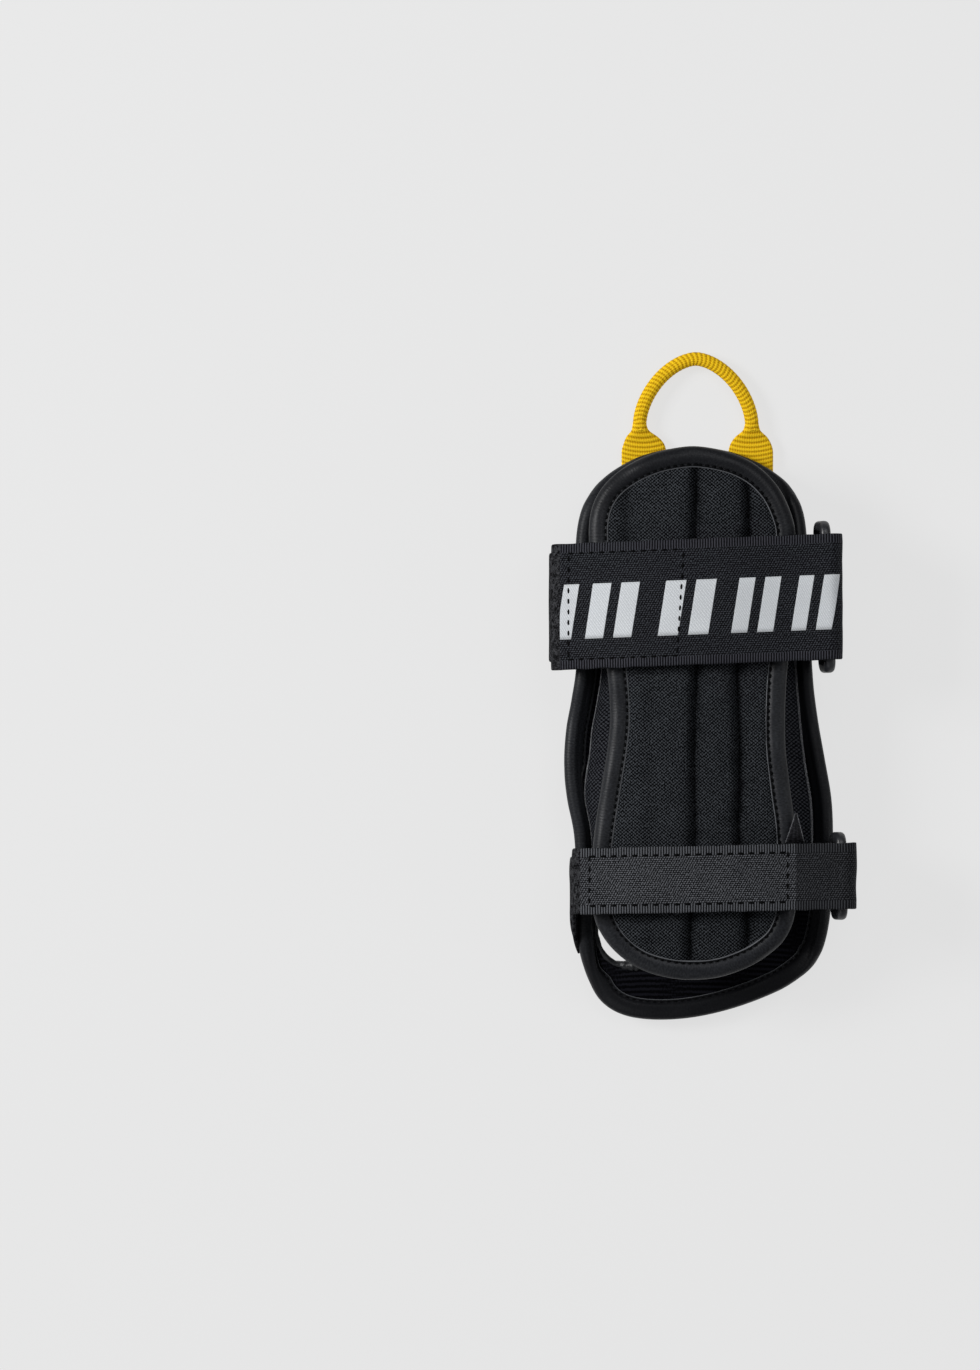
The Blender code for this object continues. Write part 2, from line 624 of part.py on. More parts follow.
def hand_strap():
    """The short strap: sewn at the thumb side, over the back to the ring at the other side."""
    base = [(-41.9, 8.6), (-42.2, 12.0), (-42.0, 17.0), (-41.0, 23.0), (-38.8, 27.6)]
    base += [over_back(x, 0.0) for x in (-34.0, -25.0, -14.0, -3.0, 8.0, 18.0, 26.0)]
    path = curve_through(base + [(31.5, 29.5), (35.2, 28.2)], 2, False)
    place = (HAND_WIDTH, BAND, HAND_Y, HAND_TILT)
    ribbon("hand_strap_base", path, *place, "loop_pile")

    fold = arc(HAND_BAR, FOLD, -90, 90, 9)
    lift = BAND / 2 + GAP + HOOK + GAP + FLAP / 2
    top = [(32.0, 34.2), (23.0, 35.3)]
    top += [over_back(x, lift) for x in (14.0, 5.0, -3.0, -12.0, -22.0, -31.0)]
    path = curve_through(fold + top + [(-37.8, 33.6)], 2, False)
    place = (HAND_WIDTH, FLAP, HAND_Y, HAND_TILT)
    ribbon("hand_strap_flap", path, *place, "strap_weave", HAND_BAR)

    under = FLAP / 2 + GAP + HOOK / 2
    patch = [(20.0, 34.1)] + [over_back(x, lift - under) for x in np.linspace(13.0, -31.0, 8)]
    patch = curve_through(patch + [(-35.4, 32.6)], 2, False)
    place = (HAND_WIDTH - 4.0, HOOK, HAND_Y, HAND_TILT)
    ribbon("hand_hook_patch", patch, *place, "hook_tape", HAND_BAR)
    ring("hand_ring", HAND_BAR, HAND_RING_LENGTH, HAND_Y, HAND_TILT)


def hand_ring_keeper():
    """Doubled webbing that ties the hand strap's ring to the palm panel's side."""
    low = lower_bar(HAND_BAR)
    thick = 1.3
    wrap = arc(low, BAR + GAP + thick / 2, 205, -25, 8)
    inner = [(39.6, 9.8), (40.1, 12.6), (39.9, 14.6)]
    outer = [(42.7, 14.6), (42.0, 12.0), (41.2, 9.2), (39.0, 6.2), (36.4, 4.2)]
    path = curve_through(inner + wrap + outer, 2, False)
    ribbon("hand_ring_keeper", path, HAND_WIDTH - 1.0, thick, HAND_Y, HAND_TILT, "keeper_webbing")


# ---- pull loop and label ------------------------------------------------------------------
def pull_loop():
    """The rolled cord, its origin on the line through its two necks."""
    mid = sum(LOOP_NECKS) / 2
    half = (LOOP_NECKS[1] - LOOP_NECKS[0]) / 2
    start = LOOP_NECK_Y + LOOP_START
    stations = []
    for angle in np.linspace(math.pi, 0, 25):
        c, s = math.cos(angle), math.sin(angle)
        reach = (abs(c) ** LOOP_ROUND + abs(s) ** LOOP_ROUND) ** (-1 / LOOP_ROUND)
        stations.append((mid + half * c * reach, start + (LOOP_TOP_Y - start) * s * reach))
    path = np.array(stations)
    along = unit(np.gradient(path, axis=0))
    along[0] = (0.0, 1.0)
    along[-1] = (0.0, -1.0)
    rings = []
    for (x, y), (ax, ay) in zip(path, along):
        section = []
        for b in np.arange(8) * math.pi / 4 + math.pi / 8:
            side = CORD / 2 * math.cos(b)
            section.append((x - ay * side, y + ax * side, CORD / 2 + CORD / 2 * math.sin(b)))
        rings.append(section)
    tube_solid("pull_loop", np.array(rings), "yellow_webbing", (mid, LOOP_NECK_Y, CORD / 2))


def pull_loop_tab(name, neck_x):
    """Flat webbing end, sewn under the palm panel's binding and narrowing to the neck."""
    lower, upper = [], []
    z = TAB_Z
    for y, width in ((62.5, 1.0), (68.0, 1.0), (72.6, 0.97), (75.2, 0.72), (77.5, 0.38)):
        across = neck_x + np.linspace(-0.5, 0.5, 3) * TAB_WIDTH * width
        lower.append([(x, y, z - 0.55) for x in across])
        upper.append([(x, y, z + 0.55) for x in across])
    sheet_solid(name, np.array(lower), np.array(upper), "yellow_webbing")


def care_label():
    """A blank folded label whose point stands up beside the back panel's binding."""
    rows = [(-47.0, 0.9), (-44.0, 0.6), (-41.0, 0.25)]
    lower, upper = [], []
    for y, width in rows:
        across = [(29.4 + 3.0 * t * width, y, 19.0 - 1.2 * t * width) for t in (-1, 0, 1)]
        lower.append(across)
        upper.append([(x, yy, z + 0.5) for x, yy, z in across])
    sheet_solid("care_label", np.array(lower), np.array(upper), "label_satin")


# ---- assembly -----------------------------------------------------------------------------
def panel_layers(name, panel, core, spacing):
    """Shell, foam and lining; the stays lie between the shell and the foam."""
    bed = SHELL + STAY + 2 * GAP
    skin = inset(panel.edge, 1.5 * GAP)
    layers = [
        ("shell", skin, lambda t: 0 * t, lambda t: 0 * t + SHELL, "shell_mesh"),
        ("foam", core, lambda t: 0 * t + bed,
         lambda t: bed + np.maximum(0.75 * (t - LINING - GAP - bed), 0.4), "foam"),
        ("lining", skin, lambda t: t - LINING, lambda t: t, "lining_mesh"),
    ]
    return [
        panel_layer(f"{name}_{part}", panel, loop, spacing, low, high, look)
        for part, loop, low, high, look in layers
    ]


def build_palm():
    palm = Panel(PALM_OUTLINE, palm_height, 1)
    core = inset(palm.edge, PAD_CORE)
    plug = hole_plug(palm)
    for layer in panel_layers("palm", palm, core, ([0.0, 4.5, 9.0, 13.5, 18.0, 22.5], 4)):
        cut(layer, plug)
    for k, x in enumerate((-17.0, 1.0, 15.5)):
        stay(f"palm_stay_{k + 1}", palm, x, x + 8.0, -46.0, 50.0)
    edge_binding("palm_binding", palm, palm_lip, 56, "binding")
    hole_binding(palm)
    return palm


def build_dorsal():
    dorsal = Panel(DORSAL_OUTLINE, dorsal_height, -1)
    core = inset(dorsal.edge, PAD_CORE)
    panel_layers("dorsal", dorsal, core, ([0.0, 5.0, 11.0], 5))
    for k, x in enumerate((-22.0, -12.8, 0.8)):
        stay(f"dorsal_stay_{k + 1}", dorsal, x, x + 6.0, -66.0, 50.0)
    edge_binding("dorsal_binding", dorsal, dorsal_lip, 48, "binding")
    return dorsal


def build():
    for obj in list(bpy.data.objects):
        bpy.data.objects.remove(obj)
    palm = build_palm()
    dorsal = build_dorsal()
    gusset("gusset_thumb_side", palm, dorsal, -1, -42.0, 56.0)
    gusset("gusset_little_finger_side", palm, dorsal, 1, -48.0, 56.0)
    forearm_strap()
    hand_strap()
    hand_ring_keeper()
    pull_loop()
    for side, x in zip(("thumb_side", "little_finger_side"), LOOP_NECKS):
        pull_loop_tab(f"pull_loop_tab_{side}", x)
    care_label()


build()
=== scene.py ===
"""Looks of a left-hand snowboard wrist guard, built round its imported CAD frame.

Every piece is made in millimetres in the guard's own plan and turned into metres in the frame.
The panels' outlines, their heights and the straps' paths are the design's own; the pieces add
quilting, folded bindings, stitches, woven relief and materials to the plain CAD solids.
"""
import math

import bpy
import numpy as np
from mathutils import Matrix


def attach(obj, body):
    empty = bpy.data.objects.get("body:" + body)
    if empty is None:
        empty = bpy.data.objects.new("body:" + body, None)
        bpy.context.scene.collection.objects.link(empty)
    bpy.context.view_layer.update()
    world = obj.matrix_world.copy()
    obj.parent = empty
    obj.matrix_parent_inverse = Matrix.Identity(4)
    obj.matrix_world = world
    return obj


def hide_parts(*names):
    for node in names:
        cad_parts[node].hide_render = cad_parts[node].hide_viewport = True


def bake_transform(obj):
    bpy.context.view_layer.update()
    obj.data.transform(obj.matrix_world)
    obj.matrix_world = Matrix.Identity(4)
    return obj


MM = 0.001
SHIFT = np.array([1.15, 0.0, 0.0])     # the design's middle in the frame

# Camera: straight down, with room beside the guard for the other half of its pair
VIEW_HEIGHT = 413.7
VIEW_CENTRE = (-64.1, 0.45)
VIEW_PLANE = 33.0
CAMERA_DISTANCE = 8000.0
SENSOR = 36.0
FLOOR_SIZE = 3000.0
FLOOR_Z = -1.2                         # just under the lowest cloth

# Padded panels
EDGE_WRAP = 1.25                       # a panel's own edge, in from its bound outline
SHELL = 1.0
LINING = 0.9
PAD_FULL = 6.8
PAD_EDGE = 2.2
PAD_TAPER = 12.0                       # from the thin edge to the full pad
CURL_RUN = 20.0
CURL_RISE = 14.0
CURL_ANGLE = math.radians(75)
STRAP_STEP = 2.4                       # the palm stands this much higher over the forearm band
DORSAL_TOP = 33.0
DORSAL_ARCH = 0.0055
DORSAL_MID = -3.7
GUSSET_FOOT = 6.4                      # a gusset's foot, from the palm panel's edge
GUSSET_HEAD = 7.5                      # and its head, from the back panel's edge
GUSSET_GAP = 0.4                       # between a gusset's edges and the linings
GUSSET_EASE = (1.03, 1.005)            # its flat width and length, over those it is held at
# Each gusset: its side, its two ends along the guard and how far it bulges
GUSSETS = (("thumb_side", -1, -50.0, 56.0, 2.2), ("little_finger_side", 1, -48.0, 56.0, 0.6))
SEAM_RADIUS = 0.38
CHANNELS = ((-17.6, -8.0), (0.2, 9.8), (16.2, 25.6))    # the palm's stay channels, across it
CHANNEL_ENDS = (-47.5, 58.0)

# Bindings: a folded tape's outer face, as shares of the lip inward from the edge and heights
# over the cloth, and then its way round the edge, as distances outward from it and heights
LIP = 5.4
TAPE = [(1.0, 0.0), (1.0, 0.5), (0.965, 0.68), (0.92, 0.55), (0.875, 0.28), (0.825, 0.12),
        (0.775, 0.32), (0.68, 0.85), (0.52, 1.22), (0.34, 1.38), (0.17, 1.3), (0.04, 1.05)]
TAPE_ROUND = [(0.5, 0.75), (1.0, 0.1), (1.25, -0.7)]
HEM_STITCHES = 0.845                   # share of the lip at which the tape is sewn

# Straps
FOREARM_WIDTH = 38.0
FOREARM_Y = 25.7
FOREARM_TILT = math.radians(2.2)
FOREARM = (FOREARM_Y, FOREARM_TILT)
HAND_WIDTH = 20.0
HAND_Y = -58.1
HAND_TILT = math.radians(1.2)
HAND = (HAND_Y, HAND_TILT)
BAND = 1.9
FLAP = 1.5
HOOK = 0.8
GAP = 0.3
SELVEDGE = 2.7
STRAP_TOP = 35.0
STRAP_ARCH = 0.0041
FLAP_LIFT = BAND / 2 + GAP + HOOK + GAP + FLAP / 2      # a flap's middle over its band's
STITCH_LIFT = -FLAP / 2 + 0.12         # a flap's stitches, sunk a little into its outer face
BOX_INSET = 3.0                        # a sewn box's long sides, in from the strap's edges
BOX_STITCH = (3.2, 1.9, 0.34)          # pitch, length and radius of its stitches
HOOK_INSET = 2.0                       # the hook tape's edges, in from the strap's
LEAN_TOP = 20.0                        # a band leans below this height

# Rings
BAR = 1.6
BAR_SQUARE = 2.6                       # exponent of the bar's section: 2 is round
RING_HEIGHT = 14.0
RING_CORNER = 4.0
RING_LEAN = math.radians(10)
FOREARM_BAR = (36.8, 30.3)
HAND_BAR = (41.0, 29.6)
FOLD = 3.8                             # a flap's fold, out from its ring's upper bar

BAND_TAPER = (8.0, 0.8)                # over the band's last stretch, to this share of its height
# Each strap: its ring's length, two points of the band's bridge to the ring (nothing bends the
# band with them), how far the band leans to the hand end as it drops, the sewn box (width,
# start, distance from the tip, slant) and the hook tape under the flap (start, end, tip)
STRAPS = {
    "forearm": dict(part="band", width=FOREARM_WIDTH, place=FOREARM, bar=FOREARM_BAR, ring=46.0,
                    bridge=((29.0, 29.5), (31.05, 31.55)), lean=0.0,
                    sewn=(FOREARM_WIDTH, -7.8, 2.6, -2.4), hook=(-8.0, -38.0, (-42.6, 30.8))),
    "hand": dict(part="base", width=HAND_WIDTH, place=HAND, bar=HAND_BAR, ring=26.6,
                 bridge=((30.0, 28.0), (39.0, 28.0)), lean=0.9,
                 sewn=(HAND_WIDTH + 1.0, 24.5, 2.8, 0.0), hook=(13.0, -31.0, (-35.4, 32.6))),
}

# Marks printed on the forearm flap: their places along it, from the guard's middle
MARKS = ((-44.2, -39.4), (-35.2, -21.2), (-13.3, 1.9), (8.7, 21.4), (26.9, 38.9))
MARK_PAIR = 8.0                        # a mark longer than this is a pair of bars
MARK_GAP = 3.0
MARK_HEIGHT = 16.6
MARK_SLANT = 2.6
MARK_SHIFT = -1.6                      # the marks' middle from the strap's

# Thumb hole
HOLE_D = 14.6                          # its middle, along the face from the palm panel's edge
HOLE_Y = -57.0
HOLE_HALF = (8.0, 25.9)                # half sizes across and along the guard
HOLE_ROLL = 4.6                        # width of the padded roll round it
HOLE_OUT = 2.0                         # extra half width towards the edge at the hand end
HOLE_SLIM = 0.55                       # the roll's share of its width beside the edge
HOLE_SQUARE = 3.4                      # exponent of the opening's outline: 2 is an ellipse

# Pull loop
CORD = 4.0
LOOP_NECKS = (-19.9, 14.1)
LOOP_NECK_Y = 78.0
LOOP_TOP_Y = 99.3
LOOP_ROUND = 1.72                      # exponent of the loop's arch
TAB_WIDTH = 13.8
# A tab's half width at each y, from under the binding through its shoulders to its neck
TAB_HALF = ((61.0, 6.75), (66.0, 6.75), (71.0, 6.75), (72.2, 6.6), (73.3, 6.25), (74.5, 5.65),
            (75.7, 4.75), (76.7, 3.6), (77.5, 2.75), (78.4, 2.35), (79.6, 2.1), (81.0, 2.0))
TAB_SHIFT = (1.3, -0.3)                # a tab's middle from its neck, thumb side first
TAB_Z = 1.75
RIB = 1.3                              # pitch of the webbing's ribs
LAP_TURN = 0.62 * math.pi - 0.5        # where round the cord the webbing's edges meet
LAP_DEPTH = 0.22

# The panels' outlines, clockwise from the middle of the forearm end
PALM_OUTLINE = [
    (-2.4, 72.6), (7.6, 71.1), (14.8, 68.4), (20.4, 65.2), (25.4, 61.2), (28.6, 56.6),
    (30.4, 50.8), (31.2, 42.0), (31.8, 25.0), (32.9, 2.0), (34.4, -10.0), (36.5, -22.0),
    (38.5, -34.0), (39.0, -46.0), (38.7, -60.0), (37.9, -71.0), (35.9, -79.6), (32.9, -84.8),
    (28.4, -88.6), (22.3, -92.3), (10.3, -97.0), (-1.8, -100.0), (-12.4, -101.0),
    (-21.4, -100.4), (-27.5, -98.4), (-32.0, -95.0), (-35.2, -90.0), (-38.0, -82.6),
    (-39.4, -73.5), (-39.5, -60.0), (-40.2, -45.0), (-42.2, -34.3), (-43.2, -23.7),
    (-42.6, -13.0), (-41.0, -4.0), (-39.6, 6.0), (-39.8, 25.0), (-39.6, 44.0), (-38.1, 53.0),
    (-35.0, 59.0), (-30.6, 63.4), (-26.0, 66.6), (-19.9, 69.7), (-12.1, 71.8),
]
DORSAL_OUTLINE = [
    (-2.4, 72.6), (8.0, 70.6), (15.5, 67.0), (21.2, 61.6), (25.0, 55.0), (27.2, 47.0),
    (27.0, 25.0), (24.6, 2.0), (24.2, -16.0), (25.6, -30.0), (27.2, -42.0), (27.8, -58.0),
    (26.9, -70.0), (23.9, -76.8), (19.3, -81.2), (13.3, -84.9), (4.2, -88.1), (-4.8, -88.9),
    (-12.4, -88.1), (-20.0, -85.7), (-26.0, -81.8), (-30.8, -76.6), (-34.0, -70.0),
    (-35.0, -58.0), (-34.2, -46.0), (-32.0, -31.0), (-29.8, -17.0), (-29.2, -8.0),
    (-30.2, 5.0), (-33.6, 25.0), (-35.6, 44.0), (-35.0, 53.0), (-31.8, 60.0), (-26.0, 65.6),
    (-17.6, 70.0), (-10.0, 72.0),
]


# ---- small geometry -----------------------------------------------------------------------
def unit(v):
    return v / np.linalg.norm(v, axis=-1, keepdims=True)


def smooth(t):
    t = np.clip(t, 0.0, 1.0)
    return t * t * (3.0 - 2.0 * t)


def curve_through(points, per_span, closed=False):
    """Points along a smooth curve through the given ones."""
    p = np.array(points, float)
    count = len(p)
    gaps = np.linalg.norm(np.roll(p, -1, 0) - p, axis=1)
    if closed:
        slope = (np.roll(p, -1, 0) - np.roll(p, 1, 0)) / (gaps + np.roll(gaps, 1))[:, None]
    else:
        slope = np.zeros_like(p)
        slope[1:-1] = (p[2:] - p[:-2]) / (gaps[1:-1] + gaps[:-2])[:, None]
        slope[0] = (p[1] - p[0]) / gaps[0]
        slope[-1] = (p[-1] - p[-2]) / gaps[-2]
    out = []
    for i in range(count if closed else count - 1):
        j = (i + 1) % count
        for t in np.arange(per_span) / per_span:
            a = (2 * t**3 - 3 * t**2 + 1) * p[i] + (3 * t**2 - 2 * t**3) * p[j]
            b = (t**3 - 2 * t**2 + t) * slope[i] + (t**3 - t**2) * slope[j]
            out.append(a + b * gaps[i])
    if not closed:
        out.append(p[-1])
    return np.array(out)


def bell(away, width):
    """1 in the middle, falling smoothly to 0 a few widths away."""
    return np.exp(-((away / width) ** 2))


def turns(count):
    """Even angles round a full turn."""
    return np.linspace(0, 2 * math.pi, count, endpoint=False)


def rounded(c, s, exponent):
    """Reach from the middle of a rounded square: 2 gives a circle."""
    return (np.abs(c) ** exponent + np.abs(s) ** exponent) ** (-1 / exponent)


def shut(rows):
    """A closed line's points, with the first one again at the end."""
    return np.concatenate([rows, rows[:1]])


def grid(u, v):
    """Every pair of a u and a v, as rows of u."""
    return np.stack(np.meshgrid(u, v, indexing="ij"), axis=-1)


def run_of(points):
    """Distance along a line of points."""
    steps = np.linalg.norm(np.diff(points, axis=0), axis=1)
    return np.concatenate([[0.0], np.cumsum(steps)])


def along_run(at, run, rows):
    """Rows of numbers read off at distances along a run."""
    return np.stack([np.interp(at, run, column) for column in rows.T], axis=-1)


def resample(points, count):
    """The same line as evenly spaced points."""
    run = run_of(points)
    return along_run(np.linspace(0, run[-1], count), run, points)


def flat_points(x, y):
    return np.stack([x, y], axis=-1)


def normal_in_plan(loop):
    """Directions to the right of a closed plan curve, which is inward on a clockwise one."""
    along = unit(np.roll(loop, -1, 0) - np.roll(loop, 1, 0))
    return flat_points(along[:, 1], -along[:, 0])


def even_loop(loop, count):
    """The same closed line as evenly spaced points."""
    return resample(shut(loop), count + 1)[:-1]


def inset(loop, distance):
    """A clockwise closed plan curve moved inward."""
    return loop + normal_in_plan(loop) * distance


def sides(loop):
    """The thumb-side and little-finger-side halves of a closed plan curve, each rising in y."""
    low, high = loop[:, 1].argmin(), loop[:, 1].argmax()
    turned_loop = np.roll(loop, -high, 0)
    cut = (low - high) % len(loop)
    right = turned_loop[: cut + 1][::-1]
    left = np.vstack([turned_loop[cut:], turned_loop[:1]])
    return left, right


def ripple(p, size, seed):
    """Smooth unevenness between about -1 and 1 over points in millimetres."""
    rng = np.random.default_rng(seed)
    total = np.zeros(p.shape[:-1])
    for _ in range(7):
        wave = rng.normal(size=p.shape[-1])
        wave *= 2 * math.pi / (size * rng.uniform(0.6, 1.7) * np.linalg.norm(wave))
        total += np.sin(p @ wave + rng.uniform(0, 2 * math.pi))
    return total / 3.0


# ---- panels -------------------------------------------------------------------------------
class Panel:
    """A padded panel: its plan outline, the height of its outer face and which way is in."""

    def __init__(self, outline, height, inward):
        self.outer = curve_through(outline, 6, True)
        self.edge = inset(self.outer, EDGE_WRAP)
        self.left, self.right = sides(self.edge)
        self.height = height
        self.inward = inward
        self.rim = self.point(*even_loop(self.edge, 900)[::3].T)

    def span(self, y, loop=None):
        """x of both sides of the panel's edge, or of another closed curve, at y."""
        left, right = sides(loop) if loop is not None else (self.left, self.right)
        return np.interp(y, left[:, 1], left[:, 0]), np.interp(y, right[:, 1], right[:, 0])

    def point(self, x, y, offset=0.0):
        """The outer face at (x, y), moved in through the panel by `offset`."""
        step = 0.05
        z = self.height(self, x, y)
        dx = (self.height(self, x + step, y) - self.height(self, x - step, y)) / (2 * step)
        dy = (self.height(self, x, y + step) - self.height(self, x, y - step)) / (2 * step)
        normal = unit(np.stack([-dx, -dy, np.ones_like(dx)], axis=-1)) * self.inward
        return np.stack([x, y, z], axis=-1) + normal * np.asarray(offset)[..., None]

    def row(self, y, start, end):
        """x values across the panel at y, and the distance along the face to each."""
        x = np.linspace(start, end, 240)
        return x, run_of(flat_points(x, self.height(self, x, np.full_like(x, y))))

    def from_edge(self, y, distance, side):
        """x at `distance` along the face from the edge on the given side (-1 or 1)."""
        xl, xr = self.span(y)
        x, run = self.row(y, *((xl, xr) if side < 0 else (xr, xl)))
        return float(np.interp(distance, run, x))

    def on_lining(self, y, distance, side):
        """A point just past the inner face, `distance` along the panel from its edge."""
        x = np.array(self.from_edge(y, distance, side))
        return self.point(x, np.array(y), self.pad(distance) + GUSSET_GAP)

    def from_rim(self, x, y):
        """Distance of the outer face's points from the panel's rim."""
        points = self.point(x, y).reshape(-1, 3)
        near = np.empty(len(points))
        for k in range(0, len(points), 2000):
            gaps = points[k:k + 2000, None] - self.rim
            near[k:k + 2000] = np.linalg.norm(gaps, axis=-1).min(axis=1)
        return near.reshape(x.shape)

    def thickness(self, x, y):
        """Shell to lining: thin where the binding grips, full over the middle."""
        return self.pad(self.from_rim(x, y))

    def fade(self, x, y):
        """0 under the binding and 1 further in, where the cloth's relief is free."""
        return smooth((self.from_rim(x, y) - 3.6) / 3.0)

    @staticmethod
    def pad(distance):
        """Thickness at a distance in from the edge."""
        return PAD_EDGE + (PAD_FULL - PAD_EDGE) * np.clip(distance / PAD_TAPER, 0.0, 1.0)


def palm_height(panel, x, y):
    """Flat in the middle, curling up at both sides, a little higher at both ends."""
    low, high = panel.edge[:, 1].min(), panel.edge[:, 1].max()
    xl, xr = panel.span(np.clip(y, low + 20.0, high - 15.0))
    half, mid = (xr - xl) / 2, (xr + xl) / 2
    t = np.maximum((np.abs(x - mid) - (half - CURL_RUN)) / CURL_RUN, 0.0)
    inside = np.minimum(t, 1.0) * math.sin(CURL_ANGLE)
    bend = 1 - np.sqrt(1 - inside**2)
    bend = bend + np.maximum(t - 1, 0) * math.sin(CURL_ANGLE) * math.tan(CURL_ANGLE)
    along = np.clip(np.abs(2 * y - low - high) / (high - low), 0, 1)
    rise = CURL_RISE * (1 - along**3) / (1 - math.cos(CURL_ANGLE))
    base = STRAP_STEP * smooth((y + 12) / 16) + 1.4 * smooth((y - 46) / 14)
    return base + 2.8 * smooth((-72 - y) / 28) + rise * bend


def dorsal_height(panel, x, y):
    """Arched across, with both ends drooping."""
    top = DORSAL_TOP - 7.0 * smooth((-68 - y) / 24) - 3.5 * smooth((y - 46) / 26)
    return top - DORSAL_ARCH * (x - DORSAL_MID) ** 2


def hole_loop(palm, grow, count):
    """Plan points round the thumb hole's opening, or `grow` outside it.

    Beside the palm panel's edge the opening runs up to the binding."""
    out = []
    for angle in turns(count):
        c, s = math.cos(angle), math.sin(angle)
        reach = rounded(c, s, HOLE_SQUARE)
        y = HOLE_Y + (HOLE_HALF[1] + grow) * s * reach
        out_here = HOLE_OUT * smooth((-68.0 - y) / 10.0)
        wide = HOLE_HALF[0] + (out_here + grow * HOLE_SLIM if c > 0 else grow)
        out.append((palm.from_edge(y, max(HOLE_D - wide * c * reach, 0.0), -1), y))
    return np.array(out)


# ---- pieces -------------------------------------------------------------------------------
def make(name, points, faces, corner_uv, look, painted_shade=None):
    """A smooth mesh piece in the frame, facing outward, from millimetres.

    The last argument is the painted shade at each point, from 0 to 1, which darkens its colour."""
    points = np.asarray(points, float) + SHIFT
    faces = np.asarray(faces)
    corner_uv = np.asarray(corner_uv, float)
    a, b, c, d = (points[faces[:, k]] for k in range(4))
    if np.einsum("ij,ij->i", a, np.cross(b, c) + np.cross(c, d)).sum() < 0:
        faces = faces[:, ::-1]
        corner_uv = corner_uv[:, ::-1]
    mesh = bpy.data.meshes.new(name)
    mesh.from_pydata((points * MM).tolist(), [], faces.tolist())
    mesh.uv_layers.new(name="cloth").data.foreach_set("uv", corner_uv.ravel())
    mesh.polygons.foreach_set("use_smooth", [True] * len(mesh.polygons))
    # painted shade at each point, read by the looks to darken the colour
    if painted_shade is not None:
        mesh.attributes.new("painted_shade", "FLOAT", "POINT").data.foreach_set("value", painted_shade.ravel())
    mesh.materials.append(look)
    piece = bpy.data.objects.new(name, mesh)
    bpy.context.scene.collection.objects.link(piece)
    return piece


def ring_faces(rows, cols, closed):
    """Quads over rows of section rings, with quad strips closing both ends if it isn't a loop."""
    i, j = np.meshgrid(np.arange(rows if closed else rows - 1), np.arange(cols), indexing="ij")
    i, j = i.ravel(), j.ravel()
    corners = [(i, j), (i, j + 1), (i + 1, j + 1), (i + 1, j)]
    where = np.stack([np.stack(c, axis=1) for c in corners], axis=1)
    if not closed:
        k = np.arange(cols // 2 - 1)
        first = [k + 1, k, cols - 1 - k, cols - 2 - k]
        last = [k, k + 1, cols - 2 - k, cols - 1 - k]
        for row, strip in ((0, first), (rows - 1, last)):
            cap = np.stack([np.stack([np.full_like(c, row), c], axis=1) for c in strip], axis=1)
            where = np.concatenate([where, cap])
    faces = (where[..., 0] % rows) * cols + where[..., 1] % cols
    return faces, where


def sweep(name, rings, look, uv=None, closed=False, painted_shade=None):
    """A closed surface over rows of section rings; u runs along it and v round it."""
    rings = np.asarray(rings, float)
    rows, cols = rings.shape[:2]
    if uv is None:
        middle = rings.mean(axis=1)
        path = shut(middle) if closed else middle
        uv = grid(run_of(path), run_of(shut(rings[rows // 2])))
    faces, where = ring_faces(rows, cols, closed)
    corner_uv = uv[where[..., 0], where[..., 1]]
    return make(name, rings.reshape(-1, 3), faces, corner_uv, look, painted_shade)


def join_meshes(name, parts, look):
    """One piece from several (points, faces, corner uv) parts."""
    shift, points, faces, uvs = 0, [], [], []
    for p, f, uv in parts:
        points.append(p)
        faces.append(f + shift)
        uvs.append(uv)
        shift += len(p)
    return make(name, np.vstack(points), np.vstack(faces), np.vstack(uvs), look)


def slotted(piece, slot, *nodes):
    """Hides the CAD nodes that the piece stands for; its slot is not used."""
    if nodes:
        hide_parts(*nodes)


def settle(piece, body, slot, *nodes):
    """The piece rides on one body, and the CAD nodes it stands for are hidden; its slot is not
    used.
    """
    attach(piece, body)
    slotted(piece, slot, *nodes)


def stitches(name, lines, look, pitch, length, radius):
    """Short lengths of thread lying along lines of (point, surface normal) pairs."""
    parts = []
    shape = np.array([(-0.5, 0.35, -0.6), (-0.36, 0.9, 0.1), (0.0, 1.0, 0.45), (0.36, 0.9, 0.1),
                      (0.5, 0.35, -0.6)])
    turn = np.arange(6) * math.pi / 3
    faces, where = ring_faces(len(shape), 6, False)
    uv = where.reshape(-1, 4, 2).astype(float)
    for points, normals in lines:
        run = run_of(points)
        at = np.arange(pitch / 2, run[-1], pitch)
        centre = along_run(at, run, points)
        up = unit(along_run(at, run, normals))
        along = unit(along_run(at + 0.3, run, points) - along_run(at - 0.3, run, points))
        side = unit(np.cross(along, up))
        for c, a, s, n in zip(centre, along, side, up):
            rings = [
                c + a * t * length + n * lift * radius
                + (np.cos(turn)[:, None] * s + np.sin(turn)[:, None] * n) * radius * r
                for t, r, lift in shape
            ]
            parts.append((np.concatenate(rings), faces, uv))
    return join_meshes(name, parts, look)


